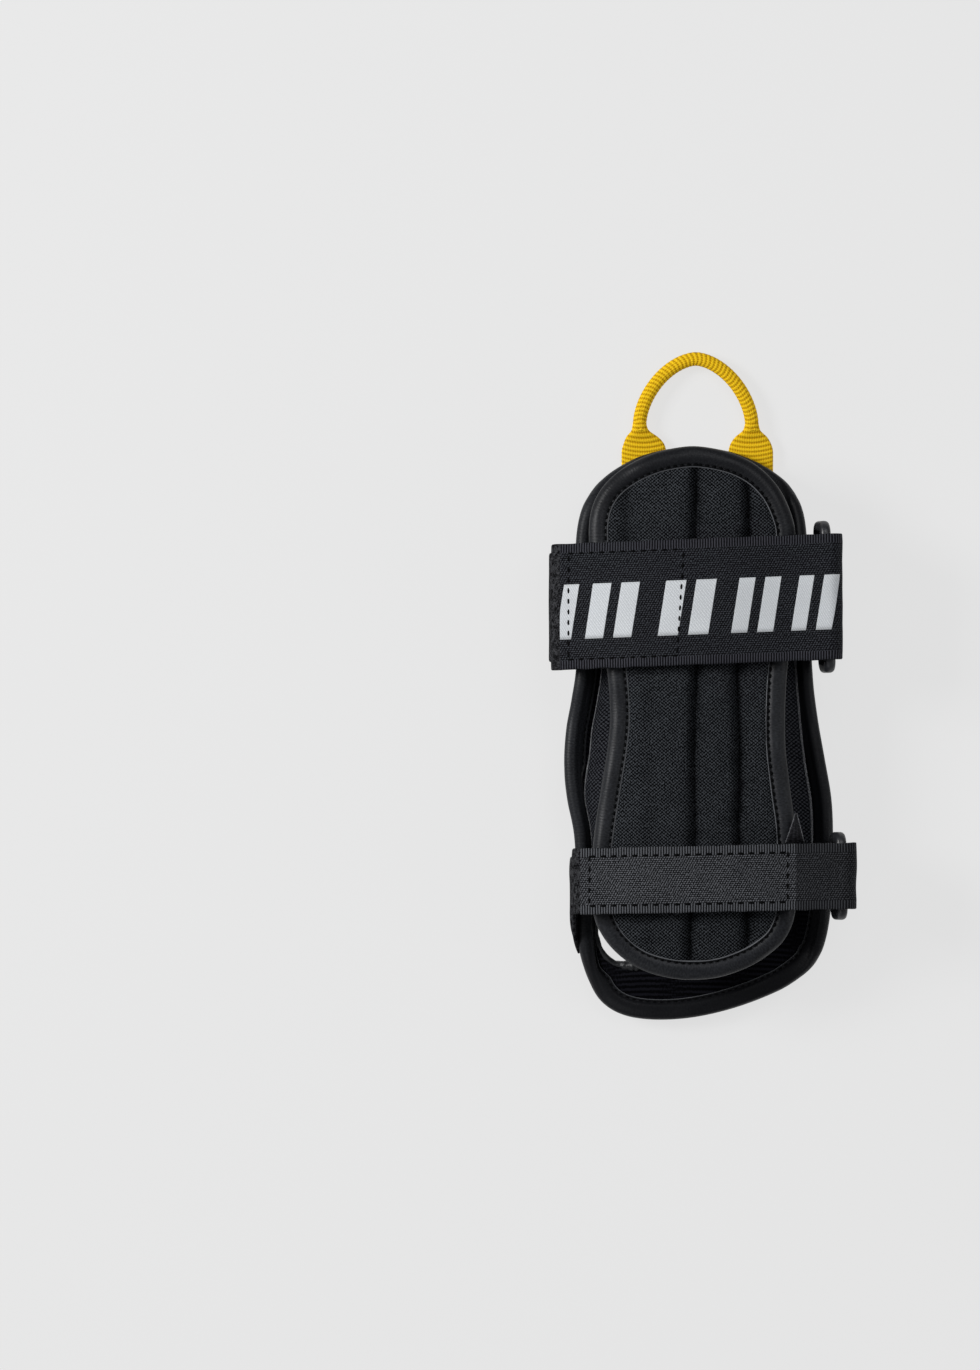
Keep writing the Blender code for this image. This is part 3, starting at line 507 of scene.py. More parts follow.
# ---- materials ----------------------------------------------------------------------------
class Look:
    """A Principled material whose patterns are measured in millimetres along the cloth."""

    def __init__(self, name, colour, roughness, shine=0.08):
        self.mat = bpy.data.materials.new(name)
        self.mat.use_nodes = True
        self.tree = self.mat.node_tree
        self.shader = self.tree.nodes["Principled BSDF"]
        self.give("Base Color", (*colour, 1.0))
        self.give("Roughness", roughness)
        self.give("Specular IOR Level", shine)
        cloth = self.node("UVMap", (), uv_map="cloth").outputs["UV"]
        self.u, self.v = self.node("SeparateXYZ", [(0, cloth)]).outputs[:2]

    def give(self, socket, value):
        """A number, a colour or a pattern for one of the shader's inputs."""
        self.wire(value, self.shader.inputs[socket])

    def wire(self, value, socket):
        if isinstance(value, bpy.types.NodeSocket):
            self.tree.links.new(value, socket)
        else:
            socket.default_value = value

    def node(self, kind, sockets, **settings):
        """A new shader node with its settings, each socket wired or given a number."""
        node = self.tree.nodes.new("ShaderNode" + kind)
        for name, value in settings.items():
            setattr(node, name, value)
        for socket, value in sockets:
            self.wire(value, node.inputs[socket])
        return node

    def math(self, operation, a, b=0.0, c=0.0):
        return self.node("Math", enumerate((a, b, c)), operation=operation).outputs[0]

    def add(self, a, b):
        return self.math("ADD", a, b)

    def times(self, a, b):
        return self.math("MULTIPLY", a, b)

    def scaled(self, value, scale, start):
        """value * scale + start"""
        return self.math("MULTIPLY_ADD", value, scale, start)

    def wave(self, along, pitch, shift=0.0):
        """A cosine from 0 to 1 with the given pitch."""
        turn = self.scaled(along, 2 * math.pi / pitch, shift)
        return self.scaled(self.math("COSINE", turn), 0.5, 0.5)

    def band(self, value, low, high):
        """0 below low, 1 above high."""
        sockets = (("From Min", low), ("From Max", high), ("Value", value))
        return self.node("MapRange", sockets, interpolation_type="SMOOTHSTEP").outputs[0]

    def noise(self, size, detail=2.0, stretch=(1.0, 1.0)):
        """Noise with features about `size` millimetres, from 0 to 1."""
        along = [self.times(way, 1.0 / s) for way, s in zip((self.u, self.v), stretch)]
        place = self.node("CombineXYZ", enumerate(along)).outputs[0]
        sockets = (("Scale", 1.0 / size), ("Detail", detail), ("Vector", place))
        return self.node("TexNoise", sockets).outputs["Fac"]

    def blend(self, share, a, b):
        """A colour between two colours."""
        a, b = ((*side, 1.0) if isinstance(side, tuple) else side for side in (a, b))
        sockets = (("Factor", share), (6, a), (7, b))
        return self.node("Mix", sockets, data_type="RGBA").outputs[2]

    def folded(self, colour, dark):
        """The colour, mixed towards dark by the painted shade stored on each point of the mesh."""
        painted_shade = self.node("Attribute", (), attribute_name="painted_shade").outputs["Fac"]
        return self.blend(painted_shade, colour, dark)

    def relief(self, height, depth):
        """Bump of `depth` millimetres where height goes from 0 to 1."""
        sockets = (("Distance", depth * MM), ("Height", height))
        self.give("Normal", self.node("Bump", sockets).outputs["Normal"])
        return self


def knit_look(name, dark, light, pitch, depth):
    """Knitted mesh: threads that cross round small holes on a staggered grid."""
    look = Look(name, light, 0.85, 0.03)
    across, along = pitch
    cell = look.times(look.wave(look.u, across), look.wave(look.v, along))
    off = look.times(look.wave(look.u, across, math.pi), look.wave(look.v, along, math.pi))
    thread = look.math("MAXIMUM", cell, off)
    fibre = look.noise(0.45, 2.0, (1.0, 1.6))
    height = look.scaled(fibre, 0.9, look.times(thread, 0.5))
    patch = look.scaled(look.noise(6.0, 3.0), 0.7, 0.65)
    tone = look.times(look.band(height, 0.56, 0.86), patch)
    # painted shade stored on the mesh darkens the knit's colour
    look.give("Base Color", look.folded(look.blend(tone, dark, light), dark))
    return look.relief(height, depth)


def weave_look(name, dark, light, pitch, edge=None, edge_light=None, depth=0.12, rough=0.7,
               speckle=0.9, painted_shade_run=None):
    """Plain woven tape; past `edge` from its middle it has the ribs of a selvedge.

    Up to a given distance along it, where it isn't sewn down in two layers, its colour
    is darkened as painted shade."""
    look = Look(name, light, rough, 0.05)
    across, along = pitch
    twill = look.wave(look.add(look.u, look.times(look.v, 0.55)), across)
    rows = look.wave(look.v, along)
    grain = look.noise(0.5, 2.0, (0.8, 1.2))
    height = look.add(look.times(look.times(twill, rows), 0.4), look.times(grain, speckle))
    if edge:
        ribs = look.times(look.wave(look.u, 0.8), 0.7)
        outer = look.band(look.math("ABSOLUTE", look.v), edge - 0.1, edge + 0.1)
        kept = look.times(height, look.math("SUBTRACT", 1.0, outer))
        height = look.add(kept, look.times(look.scaled(grain, 0.5, ribs), outer))
    patch = look.scaled(look.noise(14.0, 3.0), 0.5, 0.75)
    tone = look.times(look.band(height, 0.45, 0.8), patch)
    colour = look.blend(tone, dark, light)
    if edge:
        colour = look.blend(outer, colour, look.blend(tone, dark, edge_light or light))
    # painted shade: the colour is darkened up to the given distance along the tape
    if painted_shade_run:
        past_painted_shade = look.band(look.u, painted_shade_run - 0.4, painted_shade_run + 0.4)
        colour = look.blend(look.scaled(past_painted_shade, -0.6, 0.6), colour, dark)
    look.give("Base Color", colour)
    return look.relief(height, depth)


def binding_look(name, dark, light, rough, hem):
    """Smooth stretch tape, paler along the hem where its cut edge catches the light."""
    look = Look(name, light, rough, 0.16)
    grain = look.noise(0.6, 3.0, (0.7, 1.5))
    ribs = look.wave(look.u, 0.9)
    height = look.add(look.times(grain, 0.8), look.times(ribs, 0.2))
    patch = look.noise(9.0, 3.0, (1.6, 0.7))
    tone = look.scaled(patch, 0.5, look.times(look.band(grain, 0.3, 0.75), 0.6))
    colour = look.blend(tone, dark, light)
    near = look.math("SUBTRACT", 1.0, look.band(look.v, 0.55, 0.8))
    # painted shade stored on the mesh darkens the tape, all but its hem
    look.give("Base Color", look.blend(near, look.folded(colour, dark), hem))
    return look.relief(height, 0.06)


def pile_look(name, dark, light):
    """Brushed loops: soft, matt and tangled."""
    look = Look(name, light, 0.95, 0.04)
    fuzz = look.noise(0.5, 5.0)
    clump = look.noise(1.8, 3.0)
    height = look.add(look.times(fuzz, 0.7), look.times(clump, 0.5))
    look.give("Base Color", look.blend(look.band(height, 0.5, 0.75), dark, light))
    return look.relief(height, 0.5)


def leather_look(name, dark, light):
    """Thin synthetic leather with a fine grain and soft gloss."""
    look = Look(name, light, 0.42, 0.3)
    grain = look.noise(0.7, 5.0)
    crease = look.noise(2.4, 3.0, (0.45, 2.2))
    height = look.add(look.times(grain, 0.4), look.times(crease, 0.6))
    look.give("Base Color", look.blend(crease, dark, light))
    look.give("Roughness", look.scaled(grain, 0.25, 0.3))
    return look.relief(height, 0.12)


def plastic_look(name, dark, light, rough):
    """Moulded plastic with a fine eroded texture."""
    look = Look(name, light, rough, 0.5)
    fine = look.noise(0.35, 3.0)
    wear = look.noise(5.0, 4.0)
    look.give("Base Color", look.blend(wear, dark, light))
    look.give("Roughness", look.scaled(wear, 0.25, rough - 0.1))
    return look.relief(fine, 0.03)


def webbing_look(name, dark, light):
    """Ribbed webbing: bright ribs across it with finer threads inside each rib."""
    look = Look(name, light, 0.8, 0.03)
    rib = look.wave(look.u, RIB)
    strand = look.wave(look.v, 0.72)
    fibre = look.noise(0.35, 2.0, (0.5, 1.5))
    height = look.add(look.times(rib, 0.6), look.times(look.add(strand, fibre), 0.3))
    look.give("Base Color", look.blend(look.band(height, 0.1, 0.85), dark, light))
    return look.relief(height, 0.16)


def foam_look(name, dark, light):
    """Open-cell foam."""
    look = Look(name, light, 0.95)
    cells = look.noise(0.9, 4.0)
    look.give("Base Color", look.blend(look.band(cells, 0.35, 0.7), dark, light))
    return look.relief(cells, 0.4)


def make_looks():
    """Every material, by the name of the thing it covers."""
    looks = {
        "shell": knit_look("coarse_mesh", (0.001, 0.001, 0.0015), (0.054, 0.059, 0.066),
                           (1.15, 1.0), 0.4),
        "lining": knit_look("lining_knit", (0.001, 0.001, 0.0015), (0.008, 0.008, 0.011),
                            (40.0, 1.5), 0.05),
        "gusset": knit_look("perforated_mesh", (0.001, 0.001, 0.002), (0.04, 0.0425, 0.049),
                            (1.2, 1.5), 0.12),
        "binding": binding_look("binding_tape", (0.003, 0.003, 0.004), (0.026, 0.028, 0.032),
                                0.4, (0.11, 0.114, 0.122)),
        "hole": leather_look("hole_leather", (0.008, 0.008, 0.009), (0.02, 0.021, 0.023)),
        "pile": pile_look("loop_pile", (0.001, 0.001, 0.0015), (0.05, 0.051, 0.055)),
        "forearm": weave_look("forearm_weave", (0.002, 0.002, 0.003), (0.05, 0.054, 0.062),
                              (0.85, 0.65), FOREARM_WIDTH / 2 - SELVEDGE, (0.045, 0.046, 0.055)),
        "hand": weave_look("hand_weave", (0.004, 0.004, 0.005), (0.125, 0.13, 0.142),
                           (0.8, 0.62), HAND_WIDTH / 2 - SELVEDGE, (0.09, 0.094, 0.103),
                           painted_shade_run=26.0),
        "keeper": weave_look("keeper_weave", (0.003, 0.003, 0.004), (0.03, 0.031, 0.035),
                             (0.9, 1.9), depth=0.15),
        "thread": weave_look("thread", (0.0008, 0.0008, 0.001), (0.006, 0.006, 0.007),
                             (0.4, 0.4), rough=0.5),
        "pale_thread": weave_look("hem_thread", (0.07, 0.07, 0.076), (0.36, 0.365, 0.38),
                                  (0.4, 0.4), rough=0.5),
        "print": weave_look("strap_print", (0.50, 0.52, 0.54), (0.74, 0.76, 0.78), (1.0, 0.8),
                            depth=0.02, rough=0.6),
        "hook": pile_look("hook_tape", (0.002, 0.002, 0.002), (0.02, 0.02, 0.022)),
        "ring": plastic_look("ring_plastic", (0.010, 0.010, 0.012), (0.022, 0.023, 0.027), 0.38),
        "stay": plastic_look("stay_plastic", (0.09, 0.09, 0.095), (0.13, 0.13, 0.135), 0.5),
        "foam": foam_look("foam", (0.03, 0.03, 0.032), (0.08, 0.08, 0.083)),
        "yellow": webbing_look("yellow_webbing", (0.45, 0.22, 0.002), (0.9, 0.57, 0.016)),
        "label": weave_look("label_satin", (0.008, 0.008, 0.009), (0.03, 0.03, 0.034),
                            (0.5, 0.5), rough=0.35),
    }
    return {key: look.mat for key, look in looks.items()}


# ---- the panels' cloth --------------------------------------------------------------------
def skin_grid(panel, loop, step):
    """Rows of plan points filling a closed curve, with their places on the cloth."""
    low, high = loop[:, 1].min() + 0.05, loop[:, 1].max() - 0.05
    near = np.array([0.0, 0.25, 0.7, 1.4, 2.2, 3.2])
    inner = np.arange(low + 4.2, high - 4.2, step)
    rows = np.concatenate([low + near, inner, (high - near)[::-1]])
    across = int(np.ptp(loop[:, 0]) * 1.12 / step)
    plan, cloth = [], []
    for y in rows:
        x, run = panel.row(y, *panel.span(y, loop))
        at = np.linspace(0, run[-1], across)
        plan.append(flat_points(np.interp(at, run, x), np.full(across, y)))
        cloth.append(flat_points(at - np.interp(0.0, x, run), np.full(across, y)))
    return np.array(plan), np.array(cloth)


def skin(name, panel, loop, step, low, high, look, painted_shades):
    """A closed layer of a panel between two offsets, each a function of (x, y)."""
    plan, cloth = skin_grid(panel, loop, step)
    x, y = plan[..., 0], plan[..., 1]
    top = panel.point(x, y, low(x, y))
    bottom = panel.point(x, y, high(x, y))[:, ::-1]
    back = cloth[:, ::-1]
    uv = np.concatenate([cloth, back, cloth[:, :1]], axis=1)
    # painted shade at each point, the same on both faces of the layer
    shade = painted_shades(x, y)
    painted_shade = np.concatenate([shade, shade[:, ::-1]], axis=1)
    return sweep(name, np.concatenate([top, bottom], axis=1), look, uv, painted_shade=painted_shade)


def groove_places(y):
    """x of the back panel's stitched grooves at y; the first is faint."""
    sway = 0.35 * np.sin(y / 9.0 + 1.0)
    first = -24.4 + 7.6 * smooth((48 - y) / 44)
    second = -3.2 - 1.2 * smooth((-30 - y) / 40) + sway
    third = 10.1 + 3.2 * smooth((y - 8) / 45) + 2.3 * smooth((-36 - y) / 36) - sway
    return first, second, third


def dorsal_relief(x, y):
    """The back panel's quilting: ribs between grooves, above its plain arch."""
    puff = np.full_like(x, 0.8)
    faint = 0.35 + 0.6 * smooth((y - 30) / 15)
    for place, depth, wide in zip(groove_places(y), (faint, 2.2, 2.2), (1.9, 1.6, 1.6)):
        away = np.abs(x - place)
        puff = puff - depth * bell(away, wide) - 0.22 * depth * bell(away, 4.2)
        pucker = ripple(flat_points(0.25 * x, y), 3.4, 9)
        puff = puff + 0.12 * depth * pucker * bell(away, 3.4)
    flat = flat_points(x, y)
    return puff + 0.25 * ripple(flat, 12.0, 4) + 0.12 * ripple(flat, 4.0, 5)


def groove_shade(x, y):
    """Painted shade in the back panel's grooves, from 0 to 1."""
    shade = np.zeros_like(x)
    faint = 0.2 + 0.5 * smooth((y - 30) / 15)
    for place, depth in zip(groove_places(y), (faint, 1.0, 1.0)):
        away = np.abs(x - place + 0.4 * ripple(flat_points(x, y), 5.0, 8))
        shade = shade + depth * (0.3 * bell(away, 0.8) + 0.45 * bell(away, 2.8))
    return np.minimum(shade, 0.95)


def channel_outline(x0, x1):
    """A stay channel's stitched outline: long, with rounded ends."""
    y0, y1 = CHANNEL_ENDS
    mid, half = (x0 + x1) / 2, (x1 - x0) / 2
    turn = np.linspace(0, math.pi, 13)
    top = flat_points(mid + half * np.cos(turn), y1 - half + half * np.sin(turn))
    bottom = flat_points(mid - half * np.cos(turn), y0 + half - half * np.sin(turn))
    return resample(np.vstack([top, bottom, top[:1]]), 260)


def palm_relief(x, y):
    """The palm panel's raised stay channels and the softly uneven cloth round them."""
    raised = np.zeros_like(x)
    for x0, x1 in CHANNELS:
        mid, half = (x0 + x1) / 2, (x1 - x0) / 2
        end = (CHANNEL_ENDS[1] - CHANNEL_ENDS[0]) / 2 - half
        past = np.maximum(np.abs(y - sum(CHANNEL_ENDS) / 2) - end, 0.0)
        away = np.hypot(x - mid, past) / half
        raised = raised + 0.75 * (1 - smooth((away - 0.45) / 0.5)) \
            - 0.6 * bell((away - 1.0) * half, 0.9)
    flat = flat_points(x, y)
    lift = raised + 0.15 * ripple(flat, 16.0, 6) + 0.06 * ripple(flat, 5.0, 7)
    room = smooth((np.abs(x) - 8.0) / 10.0) + smooth((y + 15.0) / 12.0)
    return np.minimum(lift, 0.02 + np.minimum(room, 1.0) * 0.9)


def hole_cutter(palm):
    """The solid that opens the thumb hole in a palm layer, hidden under the padded roll."""
    loop = hole_loop(palm, HOLE_ROLL - 1.4, 96)
    below, above = 7.0, 13.0
    wall = [palm.point(*loop.T, np.full(len(loop), depth)) for depth in (-below, above)]
    middle = np.array(palm.from_edge(HOLE_Y, HOLE_D, -1))
    centre = np.broadcast_to(palm.point(middle, np.array(HOLE_Y)), wall[0].shape)
    rings = np.stack([*wall, centre + (0, 0, above), centre - (0, 0, below)], axis=1)
    cutter = sweep("hole_cutter", rings, None, closed=True)
    work = cutter.modifiers.new("weld", "WELD")
    work.merge_threshold = 0.01 * MM
    return cutter


def cut_away(piece, cutter):
    """Takes the cutter's solid out of a piece and keeps the result as its mesh."""
    cut = piece.modifiers.new("cut", "BOOLEAN")
    cut.object = cutter
    cut.operation = "DIFFERENCE"
    cut.solver = "EXACT"
    seen = piece.evaluated_get(bpy.context.evaluated_depsgraph_get())
    mesh = bpy.data.meshes.new_from_object(seen)
    piece.modifiers.clear()
    piece.data = mesh


def edge_frames(panel, loop):
    """Position, outward and inward-normal directions at plan points round a closed curve."""
    here = panel.point(*loop.T)
    normal = panel.point(*loop.T, np.ones(len(loop))) - here
    along = unit(np.roll(here, -1, 0) - np.roll(here, 1, 0))
    out = unit(np.cross(normal, along))
    if ((here - here.mean(axis=0)) * out).sum() < 0:
        out = -out
    return here, out, normal


def inward_points(panel, loop, distance):
    """Plan points at distances along the face, in from each point of an edge curve."""
    inner = normal_in_plan(loop)
    step = np.linspace(0.0, 10.0, 101)
    x = loop[:, :1] + inner[:, :1] * step
    y = loop[:, 1:] + inner[:, 1:] * step
    z = panel.height(panel, x, y)
    run = np.cumsum(np.hypot(np.diff(z, axis=1), step[1]), axis=1)
    run = np.hstack([np.zeros((len(loop), 1)), run])
    reach = np.array([np.interp(d, r, step) for d, r in zip(distance, run)])
    return loop + inner * reach[:, None]


def binding(name, panel, lips, swells, shades, look, seed):
    """A folded tape round a panel's edge, rolled at the rim, with a hem inside its stitches.

    On the cloth, v is the distance from the nearer of its two hems."""
    count = 520
    loop = even_loop(panel.edge, count)
    here, out, normal = edge_frames(panel, loop)
    lip = np.array([lips(x, y) for x, y in loop])
    turn = turns(count)
    around = flat_points(np.cos(turn), np.sin(turn)) * run_of(loop)[-1] / (2 * math.pi)
    swell = 1.0 + 0.10 * ripple(around, 14.0, seed)
    swell = swell * np.array([swells(x) for x in loop[:, 0]])

    def outer(share, lift):
        plan = inward_points(panel, loop, lip * share)
        return panel.point(*plan.T, -lift * swell)

    def inner(share, lift):
        plan = inward_points(panel, loop, lip * share)
        return panel.point(*plan.T, panel.pad(lip * share) + lift * swell)

    def rim(across, depth):
        return here + out * across + normal * depth

    section = [outer(s, h) for s, h in TAPE]
    section += [rim(a, -h) for a, h in TAPE_ROUND]
    section += [rim(a, PAD_EDGE + h) for a, h in TAPE_ROUND[::-1]]
    section += [inner(s, h) for s, h in TAPE[::-1]]
    section += [inner(0.5, 0.0), rim(-0.3, PAD_EDGE + 0.05), rim(-0.3, 0.0), outer(0.5, 0.0)]
    # painted shade round the tape, the same across its whole section
    shade = np.array([[shades(x, y)] for x, y in loop])
    painted_shade = np.repeat(shade, len(section), axis=1)
    rings = np.stack(section, axis=1)
    v = run_of(shut(rings[count // 2]))
    v = np.minimum(v, np.abs(v[2 * len(TAPE) + 2 * len(TAPE_ROUND) - 1] - v))
    uv = grid(run_of(shut(rings.mean(axis=1))), v)
    return sweep(name, rings, look, uv, True, painted_shade)


def palm_lip(x, y):
    """The palm's lip is narrower beside the thumb hole."""
    near = smooth((34.0 - abs(y - HOLE_Y)) / 6.0) if x < -20 else 0.0
    return LIP - 0.8 - 1.9 * near


def dorsal_lip(x, y):
    """The back's lip is even all round."""
    return LIP - 0.2


def palm_swell(x):
    """The palm's roll is slimmer on the little-finger side."""
    return 0.85 - 0.25 * smooth((x + 5.0) / 25.0)


def dorsal_swell(x):
    """The back's roll is even all round."""
    return 1.0


def palm_shade(x, y):
    """Painted shade on the palm's tape: darkest at the hand end and beside the little finger."""
    return min(0.7 * smooth((-64.0 - y) / 26.0) + 0.6 * smooth((x - 8.0) / 20.0), 0.75)


def dorsal_shade(x, y):
    """Painted shade on the back's tape, darker round the forearm end."""
    return 0.55 * smooth((y - 44.0) / 14.0)


def seam_line(panel, x, y, offset, outward=-1.0):
    """Stitches' points at `offset` in from a panel's outer face, and the way out of the cloth."""
    points = panel.point(x, y, offset)
    return points, panel.point(x, y, offset + outward) - points


def binding_seam(panel, lips, far_face):
    """The line of stitches inside a binding's roll, on the outer or the inner face."""
    loop = even_loop(panel.edge, 1200)
    reach = np.array([lips(x, y) for x, y in loop]) * HEM_STITCHES
    x, y = inward_points(panel, loop, reach).T
    if far_face:
        line = seam_line(panel, x, y, panel.pad(reach) + 0.1, 1.0)
    else:
        line = seam_line(panel, x, y, np.full(len(loop), -0.3))
    return [shut(rows) for rows in line]


def hole_roll(palm, look):
    """The padded leather roll round the thumb hole, scrunched across its length."""
    count = 260
    loop = hole_loop(palm, HOLE_ROLL / 2, count)
    here, out, normal = edge_frames(palm, loop)
    thick = palm.thickness(*loop.T)
    turn = turns(28)
    along = turns(count)
    place = np.stack([np.cos(along) * 26, np.sin(along) * 26], axis=1)
    rings = []
    beside = smooth(np.cos(along) / 0.5)
    for k, (p, e, n, t, b) in enumerate(zip(here, out, normal, thick, beside)):
        low, high = max(-1.0, 0.3 - p[2]), t + 1.0 - 0.7 * b
        c, s = np.cos(turn), np.sin(turn)
        wide = HOLE_ROLL * (1 - (1 - HOLE_SLIM) * b)
        round_x = np.sign(c) * np.abs(c) ** 0.8 * wide / 2
        round_z = (low + high) / 2 + np.sign(s) * np.abs(s) ** 0.75 * (high - low) / 2
        spot = np.column_stack([np.tile(place[k], (len(turn), 1)), c * 3.5, s * 3.5])
        dent = 0.16 * ripple(spot, 2.6, 11) + 0.14 * ripple(spot, 6.0, 12)
        outward = unit(np.stack([round_x, round_z - (low + high) / 2], axis=1))
        round_x = round_x + outward[:, 0] * (dent - 0.12)
        round_z = round_z + outward[:, 1] * (dent - 0.12)
        rings.append(p + e * round_x[:, None] + n * round_z[:, None])
    return sweep("thumb_hole_roll", np.array(rings), look, closed=True)


def gusset_foot(y, side):
    """Distance of a gusset's foot from the palm panel's edge.

    It passes outside the thumb hole, and it nears the edge beside the wrist."""
    if side < 0:
        return GUSSET_FOOT - (GUSSET_FOOT - 2.8) * smooth((-18.0 - y) / 18.0)
    return 2.3 + 1.9 * smooth((2.0 - y) / 30.0)


def gusset_ends(palm, dorsal, y, side):
    """A gusset's foot inside the palm panel's rim and its head under the back panel's."""
    return (palm.on_lining(y, gusset_foot(y, side), side),
            dorsal.on_lining(y, GUSSET_HEAD, side))


def gusset(name, palm, dorsal, side, y0, y1, bulge, look):
    """A mesh wall between the panels, bulging a little, and the line of its foot."""
    share = np.linspace(0, 1, 14)
    walls = []
    for y in np.linspace(y0, y1, 120):
        low, high = gusset_ends(palm, dorsal, y, side)
        wall = low + (high - low) * share[:, None]
        wall[:, 0] += side * (bulge * np.sin(math.pi * share))
        walls.append(wall)
    walls = np.array(walls)
    walls[..., 0] += 0.35 * ripple(walls, 11.0, 15 + side) * np.sin(math.pi * share)
    thick = np.array([side * 0.22, 0, 0])
    rings = np.concatenate([walls - thick, (walls + thick)[:, ::-1]], axis=1)
    return sweep(name, rings, look), walls[:, 0] + np.array([side * -0.2, 0, 0.5])


def piping(name, line, radius, look):
    """A thin round edging along a line."""
    along = unit(np.gradient(line, axis=0))
    side = unit(np.cross(along, (0.0, 0.0, 1.0)))
    up = np.cross(side, along)
    rings = []
    for angle in np.arange(8) * math.pi / 4:
        rings.append(line + (side * math.cos(angle) + up * math.sin(angle)) * radius)
    return sweep(name, np.stack(rings, axis=1), look)


# ---- straps -------------------------------------------------------------------------------
def turned(x, y, z, centre_y, tilt):
    """A point of a strap's own section, turned about the vertical through the strap's middle."""
    c, s = math.cos(tilt), math.sin(tilt)
    return np.stack(np.broadcast_arrays(x * c - y * s, centre_y + x * s + y * c, z), axis=-1)


def arc(centre, radius, start, end, count):
    """Points on an arc in x and z; angles in degrees from +X towards +Z."""
    a = np.radians(np.linspace(start, end, count))
    return [(centre[0] + radius * math.cos(t), centre[1] + radius * math.sin(t)) for t in a]


def over_back(x, lift):
    """(x, z) of a point of a strap's arch over the back panel."""
    return (x, STRAP_TOP + lift - STRAP_ARCH * (x - DORSAL_MID) ** 2)


def lower_bar(upper):
    """The middle of a ring's lower bar, under its upper one along the ring's lean."""
    drop = RING_HEIGHT - 2 * BAR
    return (upper[0] - drop * math.sin(RING_LEAN), upper[1] - drop * math.cos(RING_LEAN))


class Strap:
    """A strap's middle line in x and z, with the directions along it and across its thickness."""

    def __init__(self, points, place, seed, step=0.5, wander=0.12):
        line = curve_through(points, 8)
        self.line = resample(line, int(run_of(line)[-1] / step) + 1)
        self.run = run_of(self.line)
        along = unit(np.gradient(self.line, axis=0))
        self.side = flat_points(-along[:, 1], along[:, 0])
        self.place = place
        self.seed = seed
        self.wander = wander

    def at(self, run, across, lift):
        """Frame points at distances along and across the uneven strap, lifted off its middle.

        The strap's edges are tilted, and its folded ends stay square to the guard."""
        run, across, lift = np.broadcast_arrays(run, across, lift)
        lift = lift + self.wander * ripple(flat_points(run, across), 14.0, self.seed)
        middle = along_run(run, self.run, self.line)
        point = middle + along_run(run, self.run, self.side) * lift[..., None]
        placed = turned(point[..., 0], across, point[..., 1], *self.place)
        placed[..., 0] += across * math.sin(self.place[1])
        return placed

    def top_run(self, x):
        """Distance along a flap to x on its top, past its fold."""
        top = np.argmax(self.line[:, 0])
        order = np.argsort(self.line[top:, 0])
        return float(np.interp(x, self.line[top:, 0][order], self.run[top:][order]))


def strap_piece(name, strap, section, look, taper=None, lean=0.0):
    """A strap from its section: (across, lift) points out along one face and back on the other.

    A taper thins its last stretch, and a lean carries its low part towards the hand end."""
    section = np.array(section)
    run = np.linspace(0, strap.run[-1], len(strap.run))
    across = np.broadcast_to(section[:, 0], (len(run), len(section)))
    lift = np.broadcast_to(section[:, 1], across.shape)
    if taper:
        share = smooth((run - strap.run[-1] + taper[0]) / taper[0])[:, None]
        lift = lift * (1 + (taper[1] - 1) * share)
    along = np.broadcast_to(run[:, None], across.shape)
    edge = 0.12 * ripple(np.stack([along, 30.0 * np.sign(across)], axis=-1), 9.0, strap.seed + 1)
    wide = np.abs(section[:, 0]).max()
    points = strap.at(along, across + edge * (np.abs(across) / wide) ** 8, lift)
    points[..., 1] -= lean * np.maximum(LEAN_TOP - points[..., 2], 0.0)
    uv = np.stack([along, across], axis=-1)
    return sweep(name, points, look, np.concatenate([uv, uv[:, :1]], axis=1))


def section_of(across, low, top):
    """A section out along one face of a strap and back along the other."""
    return [*zip(across, low), *zip(across[::-1], top[::-1])]


def flat_section(width, thick):
    """A woven strap's section, its selvedges a little thinner and rounded."""
    half = width / 2
    across = np.array([-1, -0.985, -0.95]) * half
    inner = np.linspace(-half + SELVEDGE, half - SELVEDGE, 13)
    lift = np.array([0.25, 0.42, 0.44, *([0.5] * 13), 0.44, 0.42, 0.25]) * thick
    across = np.concatenate([across, inner, -across[::-1]])
    return section_of(across, -lift, lift)


def pile_section(width, thick):
    """The looped strap's section: pile standing up between its plain selvedges."""
    half = width / 2
    marks = [0.0, 0.3, 1.2, SELVEDGE - 0.3, SELVEDGE, SELVEDGE + 0.5]
    left = np.array([-half + m for m in marks])
    inner = np.linspace(-half + SELVEDGE + 1.5, half - SELVEDGE - 1.5, 12)
    across = np.concatenate([left, inner, -left[::-1]])
    tall = np.array([0.0, 0.12, 0.14, 0.16, 0.42, 0.5])
    top = np.concatenate([tall, np.full(12, 0.52), tall[::-1]]) * thick
    low = np.concatenate([[-0.2], np.full(len(across) - 2, -0.5), [-0.2]]) * thick
    return section_of(across, low, top)


def forearm_lines():
    """Middle lines of the forearm strap's looped band and of its folded-back flap."""
    low = lower_bar(FOREARM_BAR)
    tail = [(33.4, 10.8), (34.1, 13.0), (33.8, 15.2)]
    wrap = arc(low, BAR + GAP + BAND / 2, 200, -20, 8)
    under = [
        (37.3, 14.2), (36.4, 10.8), (33.8, 7.2), (29.6, 4.2), (24.0, 2.1), (17.0, 1.15),
        (8.0, 1.05), (-8.0, 1.05), (-22.0, 1.05), (-30.0, 1.6), (-37.0, 4.0), (-42.4, 8.6),
        (-45.8, 14.5), (-46.4, 20.5), (-44.2, 26.0), (-40.2, 29.2),
    ]
    over = [over_back(x, 0.0) for x in (-35.0, -25.0, -14.0, -3.0, 8.0, 18.0, 26.0)]
    end = [(30.6, 29.0), (34.0, 27.3), (36.8, 26.5)]
    band = Strap(tail + wrap + under + over + end, FOREARM, 41)
    top = [(28.0, 34.6), (18.0, 35.9)]
    top += [over_back(x, FLAP_LIFT) for x in (6.0, -3.0, -12.0, -22.0, -31.0, -38.0)]
    flap = Strap(arc(FOREARM_BAR, FOLD, -90, 90, 13) + top + [(-44.0, 32.0)], FOREARM, 43)
    return band, flap


